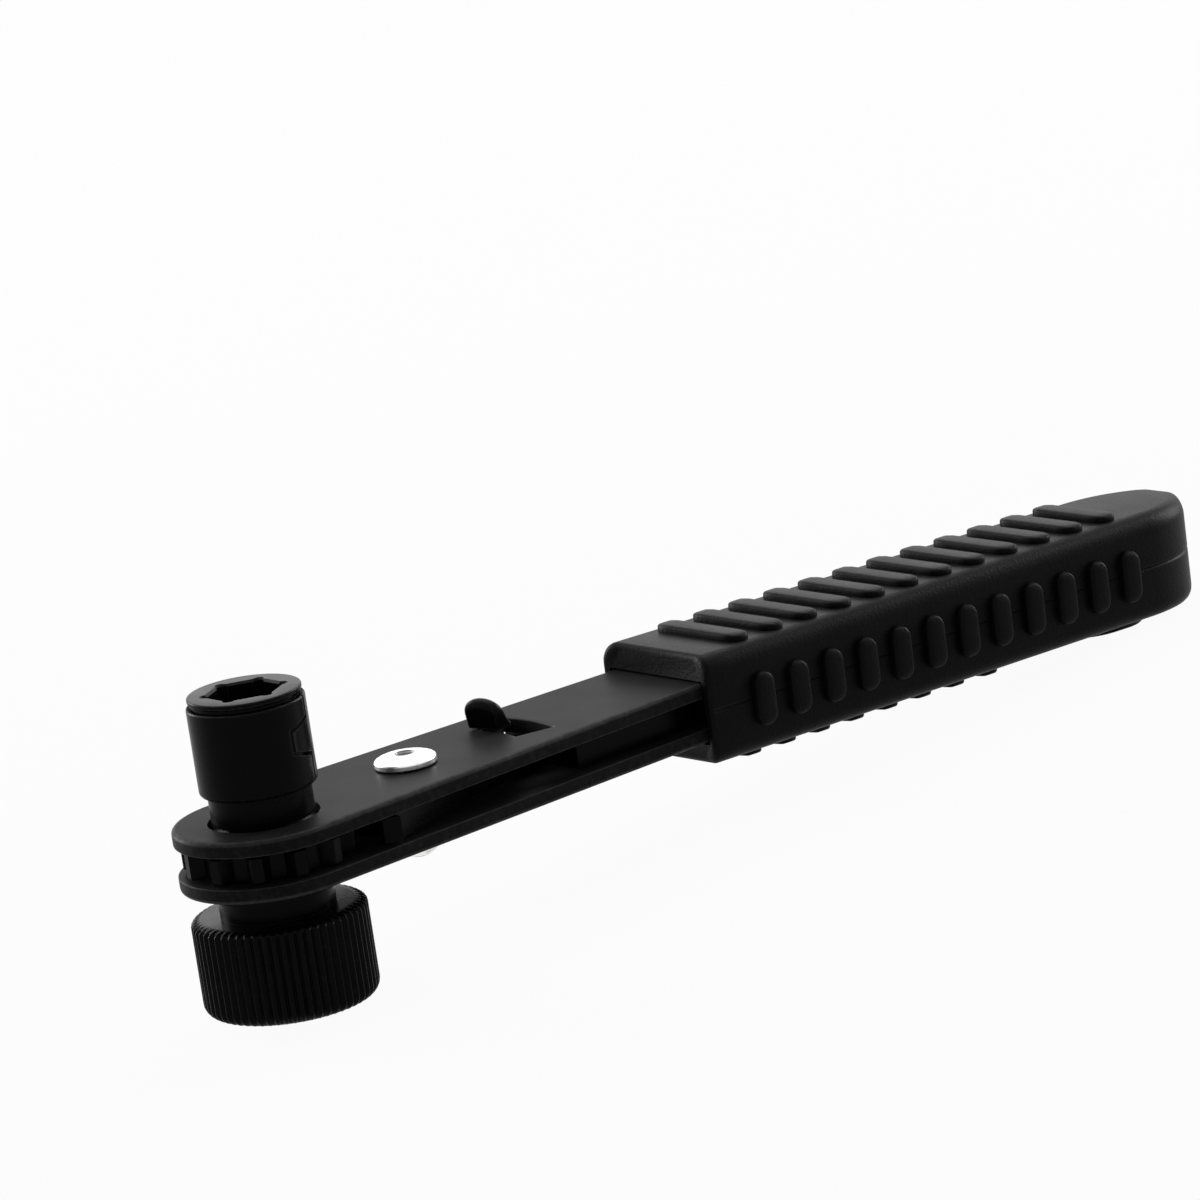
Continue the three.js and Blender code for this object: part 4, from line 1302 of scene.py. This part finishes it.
def seen_directly(nodes):
    """1 for rays from the camera, or from a shiny or clear surface, and 0 for light that falls on things."""
    camera, shiny, clear = (
        nodes.add("ShaderNodeLightPath", output=name)
        for name in ("Is Camera Ray", "Is Glossy Ray", "Is Transmission Ray")
    )
    return camera + shiny + clear


class RATCHET_OT_stage(Operator):
    """Set the pale floor, the soft lights, the white surroundings and the camera"""

    bl_idname = "ratchet.stage"
    bl_label = "Stage"

    def execute(self, context):
        scene = context.scene
        sizes = scene.ratchet_stage
        shades = scene.ratchet_finishes
        wheel_low, wheel_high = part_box("thumbwheel")
        foot = Vector((wheel_high.x - scene.ratchet_wheels.edge_round, 0, wheel_low.z))
        resting = [
            spot.co - foot
            for name in ("rubber_grip", "grip_bars_under") for spot in bpy.data.objects[name].data.vertices
        ]
        tilt = min(math.atan2(spot.z, spot.x) for spot in resting)

        reach = FLOOR_REACH
        corners = [(-reach, -reach, 0), (reach, -reach, 0), (reach, reach, 0), (-reach, reach, 0)]
        ground = bpy.data.meshes.new("floor")
        ground.from_pydata(corners, [], [(0, 1, 2, 3)])
        ground.transform(Matrix.Translation(foot) @ Matrix.Rotation(-tilt, 4, "Y"))
        floor = placed("floor", ground)
        paint = Finish("floor_finish")
        paint.set(
            base_color=paint.mix(0.04 * paint.grain(0.2), opaque(shades.floor), (1, 1, 1, 1)),
            roughness=0.9, specular_ior_level=0.0,
        )
        lit = paint.add("ShaderNodeEmission", {}, {"Color": (1, 1, 1, 1), "Strength": 1.0})
        glow = paint.add("ShaderNodeMixShader", {}, {
            0: sizes.whiteness * seen_directly(paint), 1: Value(paint, paint.shader.outputs[0]), 2: lit,
        })
        paint.feed(paint.tree.nodes["Material Output"].inputs["Surface"], glow)
        ground.materials.append(paint.material)

        world = bpy.data.worlds.new("white_room")
        world.use_nodes = True
        scene.world = world
        sky = Nodes(world.node_tree)
        sky.feed(world.node_tree.nodes["Background"].inputs["Color"], (1, 1, 1, 1))
        sky.feed(
            world.node_tree.nodes["Background"].inputs["Strength"],
            sizes.fill + (1 - sizes.fill) * seen_directly(sky),
        )

        middle = (CAD_LOW + CAD_HIGH) / 2
        lights = {  # power, size and place from the tool's middle, in metres
            "overhead": (sizes.overhead, (0.9, 0.5), (0.1, 0.3, 0.68)),
            "left_side": (sizes.flank, (0.3, 0.5), (-0.2, 0.7, 0.12)),
            "right_side": (sizes.right, (0.2, 0.45), (0.65, -0.05, 0.2)),
            "behind": (sizes.behind, (0.9, 0.35), (0.5, 0.6, 0.3)),
        }
        for name, (power, size, offset) in lights.items():
            soft_light(name, power, size, middle + Vector(offset), middle)

        lens = bpy.data.cameras.new("photo_camera")
        lens.lens = sizes.lens
        lens.sensor_width = FILM_WIDTH
        lens.clip_end = 20
        camera = placed("photo_camera", lens)
        turn, lift = sizes.azimuth, sizes.elevation
        back = Vector((math.sin(turn) * math.cos(lift), -math.cos(turn) * math.cos(lift), math.sin(lift)))
        level = Vector((math.cos(turn), math.sin(turn), 0))
        upright = back.cross(level)
        right = math.cos(sizes.roll) * level + math.sin(sizes.roll) * upright
        axes = Matrix((right, back.cross(right), back)).transposed().to_4x4()
        camera.matrix_world = Matrix.Translation(Vector(sizes.aim) + sizes.distance * back) @ axes
        scene.camera = camera
        scene.view_settings.view_transform = "Standard"
        return {"FINISHED"}


OPERATORS = (
    RATCHET_OT_plates, RATCHET_OT_socket, RATCHET_OT_sleeve, RATCHET_OT_thumbwheel, RATCHET_OT_gear,
    RATCHET_OT_rivet, RATCHET_OT_lever, RATCHET_OT_coil, RATCHET_OT_grip, RATCHET_OT_ribs,
    RATCHET_OT_inner_parts, RATCHET_OT_stage,
)


class RATCHET_PT_sidebar(Panel):
    """Lists the ratchet's pieces and the sizes that they are built from"""

    bl_idname = "RATCHET_PT_sidebar"
    bl_label = "Ratchet"
    bl_space_type = "VIEW_3D"
    bl_region_type = "UI"
    bl_category = "Ratchet"

    def draw(self, context):
        for operator in OPERATORS:
            self.layout.operator(operator.bl_idname)
        for name, group in GROUPS.items():
            sizes = self.layout.column()
            for key in group.__annotations__:
                sizes.prop(getattr(context.scene, name), key)


def register():
    for group in (*GROUPS.values(), *OPERATORS, RATCHET_PT_sidebar):
        bpy.utils.register_class(group)
    for name, group in GROUPS.items():
        setattr(bpy.types.Scene, name, PointerProperty(type=group))


def unregister():
    for name in GROUPS:
        delattr(bpy.types.Scene, name)
    for group in (RATCHET_PT_sidebar, *reversed(OPERATORS), *reversed(GROUPS.values())):
        bpy.utils.unregister_class(group)


def main():
    register()
    for operator in OPERATORS:
        family, call = operator.bl_idname.split(".")
        getattr(getattr(bpy.ops, family), call)()


if __name__ == "__main__":
    main()
